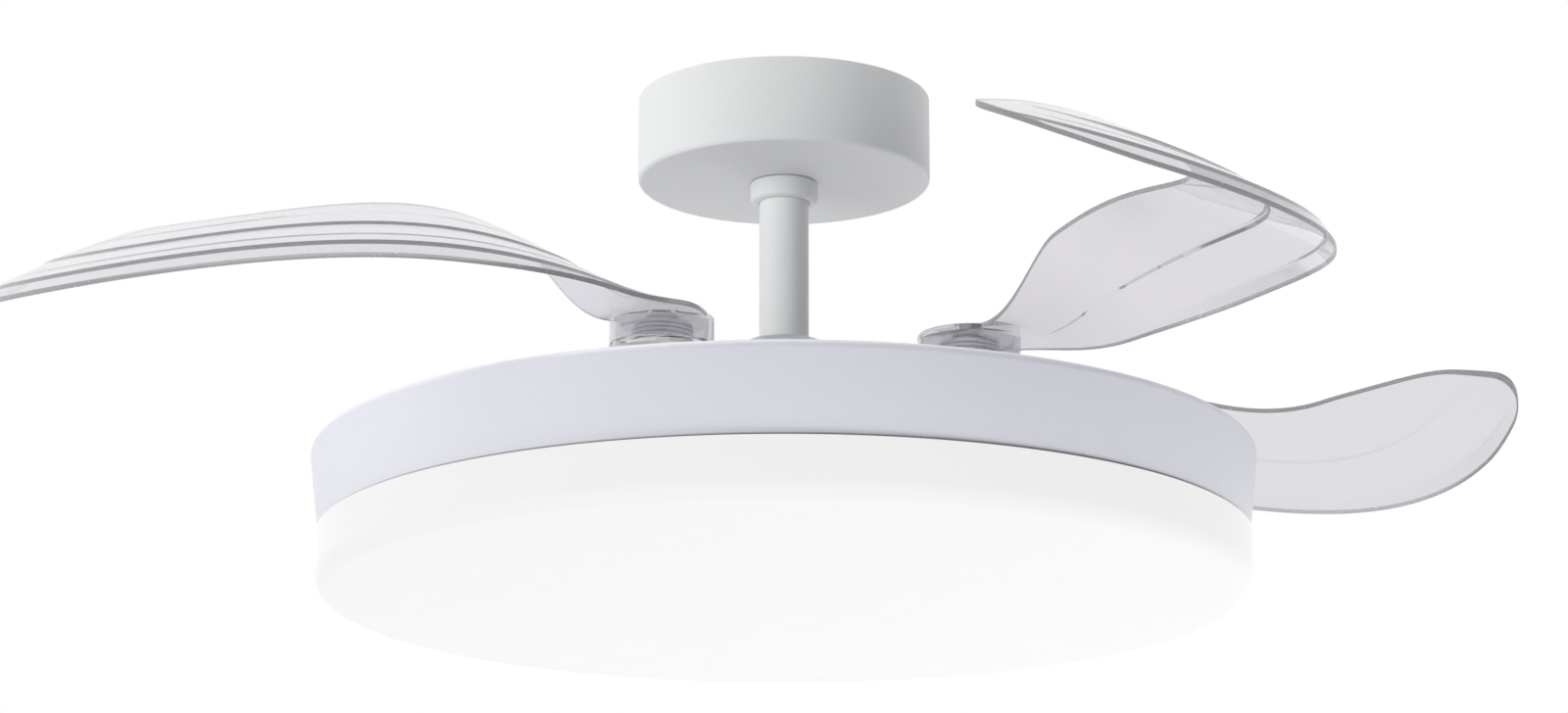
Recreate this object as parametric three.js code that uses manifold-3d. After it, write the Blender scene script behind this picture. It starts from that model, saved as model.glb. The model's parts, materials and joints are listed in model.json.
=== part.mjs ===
// Ceiling fan with a round lamp and four clear blades that fold in over the lamp.
// Millimetres, +Z up. The origin is the middle of the face on the ceiling, so the fan hangs below it.
// Heights named here are counted up from the lowest point of the lamp cover, fanDrop below the ceiling.
import * as THREE from "three";
import { mergeVertices } from "three/addons/utils/BufferGeometryUtils.js";
import Module from "manifold-3d";

const wasm = await Module();
wasm.setup();

// ---------- driving dimensions ----------
const fanDrop = 276; // ceiling to the lowest point of the lamp cover
const gap = 0.3; // free space between pieces that seat on or turn in each other
const past = 1; // how far a cutting shape runs past the face it cuts
const fused = 0.5; // how far two shapes of one piece run into each other

// lamp
const bandRadiusLow = 245.7;
const bandRadiusHigh = 250.9;
const bandHeight = 46.5;
const bandLip = 5; // radius of the rolled upper edge
const sheet = 1.5; // sheet steel of the lamp housing and the canopy
const coverRadius = 247.5;
const coverDepth = 30.1; // visible height of the lamp cover
const coverEdge = 9; // radius of its lower edge
const coverWall = 2.2;
const rimRadius = 241.5; // upright rim of the cover, inside the band
const rimHeight = 10;
const seam = 0.8; // dark line between cover and band
const bayonets = 4;
const bayonetArc = 10; // degrees covered by one lug
const bayonetStart = 45; // degrees from +X to the first lug
const ledgeRise = 5.5; // from the cover's upper edge to the face on which its lugs lie
const ledgeClearance = 0.8; // between the cover's rim and the ledges
const lugThickness = 2;
const boardRadius = 225;
const boardHole = 30;
const boardHeight = 58;
const boardThickness = 1.6;
const standoffCircle = 170;
const standoffs = 3;
const standoffRadius = 4;
const nutCorner = 15;
const nutHeight = 7;
const driverBox = [110, 50, 12];
const driverOffset = 95;

// canopy, rod and what hangs them
const canopyRadius = 79;
const canopyDepth = 46;
const canopyEdge = 5;
const rodRadius = 13.35;
const rodWall = 2;
const collarRadius = 18.3;
const collarHeight = 11;
const collarTaper = 2;
const collarTaperHeight = 2.5;
const grubRadius = 2;
const grubDrop = 5; // from the collar's top to its screw
const grubProud = 0.1;
const bracketLength = 138;
const bracketWidth = 50;
const bracketThickness = 2.5;
const slotInset = 14; // screw slots, measured in from the bracket's ends
const slotHalf = 9;
const slotRadius = 3;
const cableHoleRadius = 5;
const flangeRadius = 30;
const flangePlate = 3;
const flangeEye = 9; // radius of the hole for the wires
const boltRadius = 4.5;
const boltHead = 4;
const boltInset = 6; // from the flange's edge
const wireWindow = [22, 9, 6]; // cut in the socket's side
const wireWindowDrop = 13; // its lower edge below the ceiling
const socketRadius = 18;
const socketDepth = 27;
const pinRadius = 3;
const hangerPinDrop = 22; // below the ceiling
const hangerPinProud = 3;
const couplerPinDrop = 9; // below the coupler's top
const couplerPinProud = 2;
const rodTop = 14; // below the ceiling
const canopyClearance = 1; // round the rod
const terminalBox = [26, 16, 13];
const terminalClearance = 3; // from the flange
const receiverBox = [76, 26, 22];
const receiverOffset = 45;
const couplerRadius = 24;
const couplerLow = 110;
const couplerHigh = 140;
const couplerFoot = 6;
const couplerFootHeight = 5;
const couplerChamfer = 3;
const rodLow = 118;

// motor
const shaftRadius = 7.5;
const shaftBore = 4.5;
const shaftLow = 62;
const shaftHigh = 117;
const shaftFlange = 7; // beyond the shaft, where it stands on the lamp
const shaftFlangeHeight = 2.5;
const shaftFillet = 1;
const bearingRadius = 12;
const bearingWidth = 5;
const innerRace = 1.8;
const outerRace = 1.6;
const raceRecess = 0.5;
const raceBevel = 0.4;
const rotorRadius = 88;
const rotorLow = 81;
const rotorHigh = 103.7;
const coverPlate = 2.5;
const rotorWall = 3;
const rotorShaftClearance = 1.5;
const bearingSeatWall = 4;
const bearingSeatHeight = 5.5;
const magnetThickness = 5;
const airGap = 0.8;
const statorSlots = 12;
const statorHeight = 11;
const toothDepth = 26;
const shoeDepth = 4;
const shoeTip = 2.5;
const slotMouth = 2; // half angles of the slot, at its mouth and at its root
const slotRoot = 9;
const neckTaper = 0.72;
const statorHubRadius = 34;
const statorHubHeight = 5;
const statorHubOverlap = 2; // of the hub into the ring of teeth
const windingOuter = 6; // radial places of the winding, from the tooth tips
const windingInner = 24;
const windingRise = 3; // over the core
const windingChamfer = 1;
const windingInset = 0.4; // of the coil sides, behind the crown's inner edge
const windingHalfAngles = [5, 7]; // of one coil side, at its inner and outer end

// blade carrier and the gears that fold the blades together
const blades = 4;
const firstPivot = -33; // degrees from +X, seen from above
const carrierLow = 104;
const carrierThickness = 3;
const lobeRadius = 34;
const gearModule = 2.5;
const pressureAngle = 20;
const toothRoot = 1.25; // depth of a tooth below the pitch circle, in modules
const spareTeeth = 2; // teeth beyond the travel at each end
const sunTeeth = 72;
const bladeTeeth = 20;
const backlash = 0.3;
const gearThickness = 5;
const sunHubRadius = 52;
const hubRadius = 40;
const hubBore = 27; // clears the coupler on the shaft
const sunRim = 16; // from the pitch circle in to the windows for the stops
const retainerThickness = 1.5;
const retainerInset = 4; // its rim inside that of the sync gear's hub
const retainerScrewCircle = 33;
const retainerScrewRadius = 4;
const retainerScrewHeight = 2.5;
const retainerScrewAngle = 20; // from a pivot
const carrierRadius = 94;
const lighteningCircle = 68;
const lighteningRadius = 10;
const lighteningAngle = 15; // from a pivot, clear of the stop posts
const neckHalfAngle = 14; // of the carrier's arms, at their ends
const neckPast = 6; // from the pivot circle to an arm's end
const neckRoot = 30; // radius at which the arms begin
const neckRootHalfAngle = 60;
const pivotPinRadius = 5;
const pinHeadRadius = 9;
const pinHeadHeight = 3.4;
const pinHeadChamfer = [1.6, 1.2];
const stopRadius = 6;
const stopCircle = 63;
const stopAngle = 45; // from a pivot to the stop beside it
const stopProud = 1; // over the gear

// blade, drawn with its pivot at the origin and its tip on +X
const pivotCircle = ((sunTeeth + bladeTeeth) * gearModule) / 2; // where the gears' pitch circles touch
const openBearing = 61; // angle from the outward radius to the blade's chord, blade open
const closedBearing = 180; // folded: the chord runs back over the fan's axis
const bladeLength = 351;
const bladeThickness = 2.6;
const bossRadius = 27;
const bossWall = 3;
const bossHeight = 15;
const helixRise = 80; // height gained over half a turn round the fan, folded, with the square of the angle
const bladePitch = 0.55; // height gained for each millimetre inwards
const rootBlend = [30, 85]; // distances from the pivot between which the flat root turns into the helicoid
const outerEdge = [[-24, 12], [-6, 142], [341, 314], [bladeLength, 0]];
const endSlant = [82, 65]; // of the blade's end, from its tip
const innerEdge = [[-10, -18], [64, 22], [188, 193], [bladeLength - endSlant[0], endSlant[1]]];
const endBulge = 1.8;
const endPart = [0.75, 1]; // of the blade's length, over which the bulge grows
const formPart = [0.12, 0.35]; // of the blade's length, over which the rim and the crease grow
const ridgeRise = 2.5;
const rimDrop = 5;

// springs that fold the blades when the motor stops
const springRadius = 15;
const springWire = 1.1;
const springTurns = 2.5;
const springSteps = 8; // in one turn
const springSides = 5;

// ---------- derived places ----------
const level = (height) => height - fanDrop;
const bandLow = coverDepth + seam;
const bandHigh = bandLow + bandHeight - seam;
const canopyLow = fanDrop - canopyDepth;
const ledgeHigh = coverDepth + ledgeRise;
const flangeTop = fanDrop - bracketThickness - gap;
const hangerPinHeight = fanDrop - hangerPinDrop;
const couplerPinHeight = couplerHigh - couplerPinDrop;
const gearLow = carrierLow + carrierThickness + gap;
const bossLow = gearLow + gearThickness + gap;
const bossTop = bossLow + bossHeight;
const hubHigh = gearLow + gearThickness + gap;
const retainerLow = hubHigh + gap;
const sunPitch = (sunTeeth * gearModule) / 2;
const bladeTravel = closedBearing - openBearing;
const sunTravel = (bladeTravel * bladeTeeth) / sunTeeth;
const rad = THREE.MathUtils.degToRad;
const round = (count, start = 0) => Array.from({ length: count }, (_, i) => start + (360 * i) / count);
const polar = (radius, degrees) => [radius * Math.cos(rad(degrees)), radius * Math.sin(rad(degrees))];

// ---------- shapes ----------
function solid(geometry) {
  const plain = geometry.index ? geometry.toNonIndexed() : geometry.clone();
  plain.deleteAttribute("normal");
  plain.deleteAttribute("uv");
  const merged = mergeVertices(plain, 1e-3);
  return new wasm.Manifold(
    new wasm.Mesh({
      numProp: 3,
      vertProperties: merged.attributes.position.array,
      triVerts: new Uint32Array(merged.index.array),
    }),
  );
}

function geometryOf(body) {
  const mesh = body.getMesh();
  return new THREE.BufferGeometry()
    .setAttribute("position", new THREE.BufferAttribute(mesh.vertProperties, 3))
    .setIndex(new THREE.BufferAttribute(mesh.triVerts, 1));
}

// A closed outline of [radius, height] corners, anticlockwise with the axis on the left, turned round Z.
function turned(outline, segments) {
  const corners = outline.map(([r, h]) => new THREE.Vector2(r, level(h)));
  const onAxis = outline[0][0] === 0;
  if (!onAxis) corners.push(corners[0].clone());
  return new THREE.LatheGeometry(corners, segments).rotateX(Math.PI / 2);
}

function tube(inner, outer, low, high, segments) {
  return turned([[inner, low], [outer, low], [outer, high], [inner, high]], segments);
}

// Corners of an arc about (r, h), from one angle to another.
function arc(r, h, radius, from, to, steps) {
  return Array.from({ length: steps + 1 }, (_, i) => {
    const a = rad(from + ((to - from) * i) / steps);
    return [r + radius * Math.cos(a), h + radius * Math.sin(a)];
  });
}

function plate(shape, low, high, curveSegments = 12) {
  const body = new THREE.ExtrudeGeometry(shape, { depth: high - low, bevelEnabled: false, curveSegments });
  return body.translate(0, 0, level(low));
}

function outlineShape(points) {
  return new THREE.Shape(points.map(([x, y]) => new THREE.Vector2(x, y)));
}

// A many-sided hole whose flats, not its corners, lie on the radius, so that a round piece can turn in it.
const aroundRadius = (radius, sides) => radius / Math.cos(Math.PI / sides);

function circleHole(x, y, radius, sides = 24) {
  const corners = round(sides).map((a) => polar(aroundRadius(radius, sides), -a));
  return new THREE.Path(corners.map(([dx, dy]) => new THREE.Vector2(x + dx, y + dy)));
}

function rod(radius, low, high, segments = 16, x = 0, y = 0) {
  return new THREE.CylinderGeometry(radius, radius, high - low, segments)
    .rotateX(Math.PI / 2)
    .translate(x, y, level((low + high) / 2));
}

// Round bar along X, centred on the axis, that reaches `half` to each side.
function crossBar(radius, half, height) {
  const bar = new THREE.CylinderGeometry(radius, radius, 2 * half, 10);
  return bar.rotateZ(Math.PI / 2).translate(0, 0, level(height));
}

function box([width, depth, height], x, y, low) {
  return new THREE.BoxGeometry(width, depth, height).translate(x, y, level(low + height / 2));
}

// Piece of a flat ring, as long as a lug of the bayonet.
function bayonetPart(middle, [inner, outer], [low, high]) {
  const from = middle - bayonetArc / 2;
  const to = middle + bayonetArc / 2;
  const outside = arc(0, 0, outer, from, to, 2);
  const inside = arc(0, 0, inner, to, from, 2);
  return plate(outlineShape([...outside, ...inside]), low, high);
}

// ---------- finishes ----------
const finish = (color, roughness, metalness, opacity = 1) =>
  new THREE.MeshStandardMaterial({ color, roughness, metalness, opacity, transparent: opacity < 1 });
const lacquer = finish(0xdfe0e6, 0.42, 0.0);
const canopyPaint = finish(0xe4e6e6, 0.45, 0.0);
const opal = finish(0xfcfcfd, 0.35, 0.0);
const clearPlastic = finish(0xdddbe0, 0.08, 0.0, 0.35);
const zincSteel = finish(0xa9acb0, 0.35, 0.9);
const darkSteel = finish(0x5a5c60, 0.4, 0.85);
const castAluminium = finish(0xc6c8ca, 0.45, 0.8);
const bearingSteel = finish(0xb9bcc0, 0.2, 1.0);
const copper = finish(0xb8703a, 0.35, 0.9);
const nylon = finish(0xece9e2, 0.5, 0.0);
const rubber = finish(0x2a2a2c, 0.8, 0.0);
const boardWhite = finish(0xf1f1ee, 0.5, 0.0);
const greyPlastic = finish(0xc9cbcd, 0.55, 0.0);

// ---------- groups ----------
const fan = new THREE.Group();
const fixed = new THREE.Group();
const rotor = new THREE.Group();
fan.add(fixed, rotor);

function addTo(group, name, shape, material) {
  const geometry = shape.isBufferGeometry ? shape : geometryOf(shape);
  const mesh = new THREE.Mesh(geometry, material);
  mesh.name = name;
  group.add(mesh);
  return mesh;
}

// ---------- hanging parts ----------
function ceilingBracket() {
  const half = bracketLength / 2;
  const side = bracketWidth / 2;
  const shape = outlineShape([[-half, -side], [half, -side], [half, side], [-half, side]]);
  for (const x of [-half + slotInset, half - slotInset]) {
    const slot = new THREE.Path();
    slot.absarc(x, slotHalf, slotRadius, 0, Math.PI, false);
    slot.absarc(x, -slotHalf, slotRadius, Math.PI, 2 * Math.PI, false);
    shape.holes.push(slot);
  }
  const cableHoleOffset = (flangeRadius + half - slotInset - slotRadius) / 2;
  shape.holes.push(circleHole(cableHoleOffset, 0, cableHoleRadius, 12));
  return plate(shape, fanDrop - bracketThickness, fanDrop, 6);
}

function hangerFlange() {
  const top = flangeTop;
  const plateLow = top - flangePlate;
  const inner = rodRadius + gap;
  const outline = [
    [inner, top - socketDepth],
    [socketRadius, top - socketDepth],
    [socketRadius, plateLow],
    [flangeRadius, plateLow],
    [flangeRadius, top],
    [flangeEye, top],
    [flangeEye, plateLow],
    [inner, plateLow - flangePlate],
  ];
  const pinHole = crossBar(pinRadius + gap, socketRadius + past, hangerPinHeight);
  const window = box(wireWindow, -socketRadius / 2, 0, fanDrop - wireWindowDrop);
  return solid(turned(outline, 20)).subtract(solid(pinHole)).subtract(solid(window));
}

function hangerBolt() {
  const seat = flangeTop - flangePlate - gap;
  return rod(boltRadius, seat - boltHead, seat, 6);
}

function downrod() {
  const top = fanDrop - rodTop;
  const outline = [
    [rodRadius - rodWall, rodLow],
    [rodRadius, rodLow],
    [rodRadius, top],
    [rodRadius - rodWall, top],
  ];
  const upper = crossBar(pinRadius + gap, rodRadius + past, hangerPinHeight);
  const lower = crossBar(pinRadius + gap, rodRadius + past, couplerPinHeight);
  return solid(turned(outline, 24)).subtract(solid(upper)).subtract(solid(lower));
}

function canopy() {
  const inner = canopyRadius - sheet;
  const floor = canopyLow + sheet;
  const hole = rodRadius + canopyClearance;
  const outline = [
    [hole, canopyLow],
    ...arc(canopyRadius - canopyEdge, canopyLow + canopyEdge, canopyEdge, -90, 0, 3),
    [canopyRadius, fanDrop],
    [inner, fanDrop],
    ...arc(canopyRadius - canopyEdge, canopyLow + canopyEdge, canopyEdge - sheet, 0, -90, 2),
    [hole, floor],
  ];
  return turned(outline, 40);
}

function canopyCollar() {
  const inner = rodRadius + gap;
  const top = canopyLow - gap;
  const outline = [
    [inner, top - collarHeight],
    [collarRadius - collarTaper, top - collarHeight],
    [collarRadius, top - collarHeight + collarTaperHeight],
    [collarRadius, top],
    [inner, top],
  ];
  const hole = new THREE.CylinderGeometry(grubRadius + gap, grubRadius + gap, collarRadius, 10);
  hole.translate(0, collarRadius, level(top - grubDrop));
  return solid(turned(outline, 24)).subtract(solid(hole));
}

function collarScrew() {
  const top = canopyLow - gap;
  const length = collarRadius - rodRadius - 2 * gap;
  const middle = rodRadius + gap + length / 2 + grubProud;
  const screw = new THREE.CylinderGeometry(grubRadius, grubRadius, length, 8);
  return screw.translate(0, middle, level(top - grubDrop));
}

function motorCoupler() {
  const rodSocket = rodRadius + gap;
  const outline = [
    [shaftRadius + gap, couplerLow],
    [couplerRadius - couplerFoot, couplerLow],
    [couplerRadius, couplerLow + couplerFootHeight],
    [couplerRadius, couplerHigh - couplerChamfer],
    [couplerRadius - couplerChamfer, couplerHigh],
    [rodSocket, couplerHigh],
    [rodSocket, rodLow - gap],
    [shaftRadius + gap, rodLow - gap],
  ];
  const pinHole = crossBar(pinRadius + gap, couplerRadius + past, couplerPinHeight);
  return solid(turned(outline, 20)).subtract(solid(pinHole));
}

addTo(fixed, "ceiling_bracket", ceilingBracket(), zincSteel);
addTo(fixed, "hanger_flange", hangerFlange(), zincSteel);
for (const [name, side] of [["hanger_bolt_left", -1], ["hanger_bolt_right", 1]]) {
  addTo(fixed, name, hangerBolt(), zincSteel).position.x = side * (flangeRadius - boltInset);
}
addTo(fixed, "hanger_pin", crossBar(pinRadius, socketRadius + hangerPinProud, hangerPinHeight), zincSteel);
addTo(fixed, "downrod", downrod(), canopyPaint);
addTo(fixed, "canopy", canopy(), canopyPaint);
addTo(fixed, "canopy_collar", canopyCollar(), canopyPaint);
addTo(fixed, "collar_screw", collarScrew(), darkSteel);
const terminalX = -(flangeRadius + terminalClearance + terminalBox[0] / 2);
addTo(fixed, "terminal_block", box(terminalBox, terminalX, 0, flangeTop - terminalBox[2]), nylon);
addTo(fixed, "receiver_box", box(receiverBox, 0, receiverOffset, canopyLow + sheet + gap), greyPlastic);
addTo(fixed, "motor_coupler", motorCoupler(), castAluminium);
const couplerPin = crossBar(pinRadius, couplerRadius + couplerPinProud, couplerPinHeight);
addTo(fixed, "coupler_pin", couplerPin, zincSteel);

// ---------- motor ----------
const lowerSeat = rotorLow + coverPlate;
const upperSeat = rotorHigh - coverPlate;

function motorShaft() {
  const flange = bandHigh + gap;
  return turned(
    [
      [shaftBore, shaftLow],
      [shaftRadius, shaftLow],
      [shaftRadius, flange],
      [shaftRadius + shaftFlange, flange],
      [shaftRadius + shaftFlange, flange + shaftFlangeHeight],
      [shaftRadius, flange + shaftFlangeHeight + shaftFillet],
      [shaftRadius, shaftHigh],
      [shaftBore, shaftHigh],
    ],
    16,
  );
}

function bearing(low) {
  const inner = shaftRadius + gap;
  return turned(
    [
      [inner, low],
      [inner + innerRace, low],
      [inner + innerRace + raceBevel, low + raceRecess],
      [bearingRadius - outerRace - raceBevel, low + raceRecess],
      [bearingRadius - outerRace, low],
      [bearingRadius, low],
      [bearingRadius, low + bearingWidth],
      [inner, low + bearingWidth],
    ],
    16,
  );
}

const magnetOuter = rotorRadius - rotorWall - gap;
const magnetInner = magnetOuter - magnetThickness;
const statorRadius = magnetInner - airGap;
const statorMiddle = (rotorLow + rotorHigh) / 2;
const statorLow = statorMiddle - statorHeight / 2;
const statorHigh = statorMiddle + statorHeight / 2;

// Stack of sheets with a hub on the shaft and T-shaped teeth.
function statorCore() {
  const pitch = 360 / statorSlots;
  const points = round(statorSlots).flatMap((a) => {
    const shoe = pitch / 2 - slotMouth;
    const neck = pitch / 2 - slotRoot;
    return [
      polar(statorRadius - toothDepth, a - neck),
      polar(statorRadius - shoeDepth, a - neck * neckTaper),
      polar(statorRadius - shoeTip, a - shoe),
      polar(statorRadius, a - shoe),
      polar(statorRadius, a),
      polar(statorRadius, a + shoe),
      polar(statorRadius - shoeTip, a + shoe),
      polar(statorRadius - shoeDepth, a + neck * neckTaper),
      polar(statorRadius - toothDepth, a + neck),
    ];
  });
  const shape = outlineShape(points);
  shape.holes.push(circleHole(0, 0, statorHubRadius - statorHubOverlap));
  const ring = solid(plate(shape, statorLow, statorHigh));
  const half = statorHubHeight / 2;
  const hub = tube(shaftRadius + gap, statorHubRadius, statorMiddle - half, statorMiddle + half, 16);
  return ring.add(solid(hub));
}

// One coil a slot gap, all joined by the turns over the top of the core.
function statorWinding() {
  const low = statorHigh + gap;
  const high = low + windingRise;
  const outer = statorRadius - windingOuter;
  const inner = statorRadius - windingInner;
  const crown = [[inner, low], [outer, low], [outer - windingChamfer, high], [inner + windingChamfer, high]];
  let coils = solid(turned(crown, 24));
  const [atInner, atOuter] = windingHalfAngles;
  for (const a of round(statorSlots, 180 / statorSlots)) {
    const inside = [a - atInner, a + atInner].map((side) => polar(inner + windingInset, side));
    const outside = [a + atOuter, a - atOuter].map((side) => polar(outer, side));
    coils = coils.add(solid(plate(outlineShape([...outside, ...inside]), statorLow, low + fused)));
  }
  return coils;
}

// One half of the rotor's case: its plate, its wall up to the split line, and the seat of a bearing.
function rotorCover([plateLow, plateHigh], [wallLow, wallHigh], [seatLow, seatHigh]) {
  const seat = aroundRadius(bearingRadius + gap, 16);
  const dish = solid(tube(shaftRadius + rotorShaftClearance, rotorRadius, plateLow, plateHigh, 32));
  const wall = solid(tube(rotorRadius - rotorWall, rotorRadius, wallLow, wallHigh, 32));
  const ring = solid(tube(seat, seat + bearingSeatWall, seatLow, seatHigh, 16));
  return dish.add(wall).add(ring);
}

function rotorLowerCover() {
  const inside = lowerSeat - fused;
  const wall = [inside, statorMiddle - gap / 2];
  return rotorCover([rotorLow, lowerSeat], wall, [inside, lowerSeat + bearingSeatHeight]);
}

function rotorUpperCover() {
  const inside = upperSeat + fused;
  const wall = [statorMiddle + gap / 2, inside];
  return rotorCover([upperSeat, rotorHigh], wall, [upperSeat - bearingSeatHeight, inside]);
}

addTo(fixed, "motor_shaft", motorShaft(), bearingSteel);
addTo(fixed, "lower_bearing", bearing(lowerSeat + gap), bearingSteel);
addTo(fixed, "upper_bearing", bearing(upperSeat - gap - bearingWidth), bearingSteel);
addTo(fixed, "stator_core", statorCore(), darkSteel);
addTo(fixed, "stator_winding", statorWinding(), copper);
addTo(rotor, "rotor_lower_cover", rotorLowerCover(), castAluminium);
addTo(rotor, "rotor_upper_cover", rotorUpperCover(), castAluminium);
addTo(rotor, "magnet_ring", tube(magnetInner, magnetOuter, statorLow, statorHigh, 32), darkSteel);

// ---------- lamp ----------
// Band and top of the lamp, spun from one sheet, with ledges for the cover's lugs.
function lampHousing() {
  const slope = (bandRadiusHigh - bandRadiusLow) / (bandHigh - bandLow);
  const shoulder = bandHigh - bandLip;
  const outerAt = (h) => bandRadiusLow + slope * (h - bandLow);
  const hole = shaftRadius + gap;
  const outline = [
    [bandRadiusLow, bandLow],
    ...arc(outerAt(shoulder) - bandLip, shoulder, bandLip, 0, 90, 3),
    [hole, bandHigh],
    [hole, bandHigh - sheet],
    ...arc(outerAt(shoulder) - bandLip, shoulder, bandLip - sheet, 90, 0, 2),
    [bandRadiusLow - sheet, bandLow],
  ];
  let housing = solid(turned(outline, 56));
  for (const a of round(bayonets, bayonetStart)) {
    const radii = [rimRadius + ledgeClearance, bandRadiusLow - sheet / 2];
    housing = housing.add(solid(bayonetPart(a, radii, [ledgeHigh - sheet, ledgeHigh])));
  }
  return housing;
}

function lampCover() {
  const inner = coverRadius - coverWall;
  const rimInner = rimRadius - coverWall;
  const outline = [
    [0, 0],
    ...arc(coverRadius - coverEdge, coverEdge, coverEdge, -90, 0, 3),
    [coverRadius, coverDepth],
    [rimRadius, coverDepth],
    [rimRadius, coverDepth + rimHeight],
    [rimInner, coverDepth + rimHeight],
    [rimInner, coverDepth - coverWall],
    [inner, coverDepth - coverWall],
    ...arc(coverRadius - coverEdge, coverEdge, coverEdge - coverWall, 0, -90, 2),
    [0, coverWall],
  ];
  let cover = solid(turned(outline, 56));
  const low = ledgeHigh + gap;
  for (const a of round(bayonets, bayonetStart)) {
    const radii = [rimRadius - coverWall / 2, rimRadius + coverWall];
    cover = cover.add(solid(bayonetPart(a, radii, [low, low + lugThickness])));
  }
  return cover;
}

function ledBoard() {
  const shape = new THREE.Shape().absarc(0, 0, boardRadius, 0, Math.PI * 2, false);
  shape.holes.push(circleHole(0, 0, boardHole, 24));
  return plate(shape, boardHeight, boardHeight + boardThickness, 24);
}

const housingUnder = bandHigh - sheet - gap;
addTo(fixed, "lamp_housing", lampHousing(), lacquer);
addTo(fixed, "led_board", ledBoard(), boardWhite);
round(standoffs, 90).forEach((a, i) => {
  const [x, y] = polar(standoffCircle, a);
  const standoff = rod(standoffRadius, boardHeight + boardThickness + gap, housingUnder, 6, x, y);
  addTo(fixed, `board_standoff_${i + 1}`, standoff, zincSteel);
});
addTo(fixed, "led_driver", box(driverBox, driverOffset, 0, housingUnder - driverBox[2]), greyPlastic);
const nutShape = outlineShape(round(6).map((a) => polar(nutCorner, a)));
nutShape.holes.push(circleHole(0, 0, shaftRadius + gap));
addTo(fixed, "shaft_nut", plate(nutShape, housingUnder - nutHeight, housingUnder, 6), zincSteel);
addTo(fan, "lamp_cover", lampCover(), opal);

// ---------- blade carrier ----------
// Half angle of a tooth at one radius, from the involute of the pressure angle.
function toothHalfAngle(radius, pitchRadius) {
  const pressure = rad(pressureAngle);
  const involute = (a) => Math.tan(a) - a;
  const base = pitchRadius * Math.cos(pressure);
  const atRadius = Math.acos(Math.min(1, base / radius));
  const halfThickness = ((Math.PI * gearModule) / 2 - backlash) / (2 * pitchRadius);
  return THREE.MathUtils.radToDeg(halfThickness + involute(pressure) - involute(atRadius));
}

// Outline of a gear that has teeth only where hasTooth says so; tooth 0 points at `start` degrees.
function gearOutline(teeth, start, hasTooth) {
  const pitchRadius = (teeth * gearModule) / 2;
  const tip = pitchRadius + gearModule;
  const root = pitchRadius - toothRoot * gearModule;
  const radii = [root, pitchRadius, tip];
  return round(teeth, start).flatMap((a, i) => {
    if (!hasTooth(i)) return [polar(root, a)];
    const rising = radii.map((r) => polar(r, a - toothHalfAngle(r, pitchRadius)));
    const falling = radii.map((r) => polar(r, a + toothHalfAngle(r, pitchRadius))).reverse();
    return [...rising, ...falling];
  });
}

function syncGear() {
  const perBlade = sunTeeth / blades;
  const used = Math.ceil((sunTravel * sunTeeth) / 360) + spareTeeth;
  const hasTooth = (i) => {
    const back = (perBlade - (i % perBlade)) % perBlade;
    return back <= used || back >= perBlade - spareTeeth;
  };
  const shape = outlineShape(gearOutline(sunTeeth, firstPivot, hasTooth));
  shape.holes.push(circleHole(0, 0, hubRadius, 36));
  const post = THREE.MathUtils.radToDeg(Math.asin((stopRadius + gap) / stopCircle));
  for (const a of round(blades, firstPivot + stopAngle)) {
    const outer = sunPitch - sunRim;
    const from = a - sunTravel - post;
    const to = a + post;
    const window = [...arc(0, 0, outer, from, to, 5), ...arc(0, 0, sunHubRadius, to, from, 4)];
    shape.holes.push(new THREE.Path(window.reverse().map(([x, y]) => new THREE.Vector2(x, y))));
  }
  return plate(shape, gearLow, gearLow + gearThickness);
}

function bladeGear(pivotAngle) {
  const used = Math.ceil((bladeTravel * bladeTeeth) / 360) + spareTeeth;
  const start = pivotAngle + 180 + 180 / bladeTeeth;
  const hasTooth = (i) => i < used || i >= bladeTeeth - spareTeeth;
  const shape = outlineShape(gearOutline(bladeTeeth, start, hasTooth));
  shape.holes.push(circleHole(0, 0, pivotPinRadius + gap, 14));
  return plate(shape, gearLow, gearLow + gearThickness);
}

// Round plate with a lobe under each blade.
function bladeCarrier() {
  const high = carrierLow + carrierThickness;
  let body = solid(rod(carrierRadius, carrierLow, high, 32));
  for (const a of round(blades, firstPivot)) {
    const [x, y] = polar(pivotCircle, a);
    const end = pivotCircle + neckPast;
    const arm = outlineShape([
      polar(neckRoot, a - neckRootHalfAngle),
      polar(end, a - neckHalfAngle),
      polar(end, a + neckHalfAngle),
      polar(neckRoot, a + neckRootHalfAngle),
    ]);
    body = body.add(solid(rod(lobeRadius, carrierLow, high, 16, x, y)));
    body = body.add(solid(plate(arm, carrierLow, high)));
    body = body.subtract(solid(rod(pivotPinRadius + gap, carrierLow - past, high + past, 12, x, y)));
    const [hx, hy] = polar(lighteningCircle, a + lighteningAngle);
    body = body.subtract(solid(rod(lighteningRadius, carrierLow - past, high + past, 12, hx, hy)));
  }
  return body.subtract(solid(rod(hubBore, carrierLow - past, high + past, 24)));
}

function pivotPin() {
  const headLow = bossTop + gap;
  const headHigh = headLow + pinHeadHeight;
  const [chamfer, chamferHeight] = pinHeadChamfer;
  const low = carrierLow + gap;
  return turned(
    [
      [0, low],
      [pivotPinRadius, low],
      [pivotPinRadius, headLow],
      [pinHeadRadius, headLow],
      [pinHeadRadius, headHigh - chamferHeight],
      [pinHeadRadius - chamfer, headHigh],
      [0, headHigh],
    ],
    14,
  );
}

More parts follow.
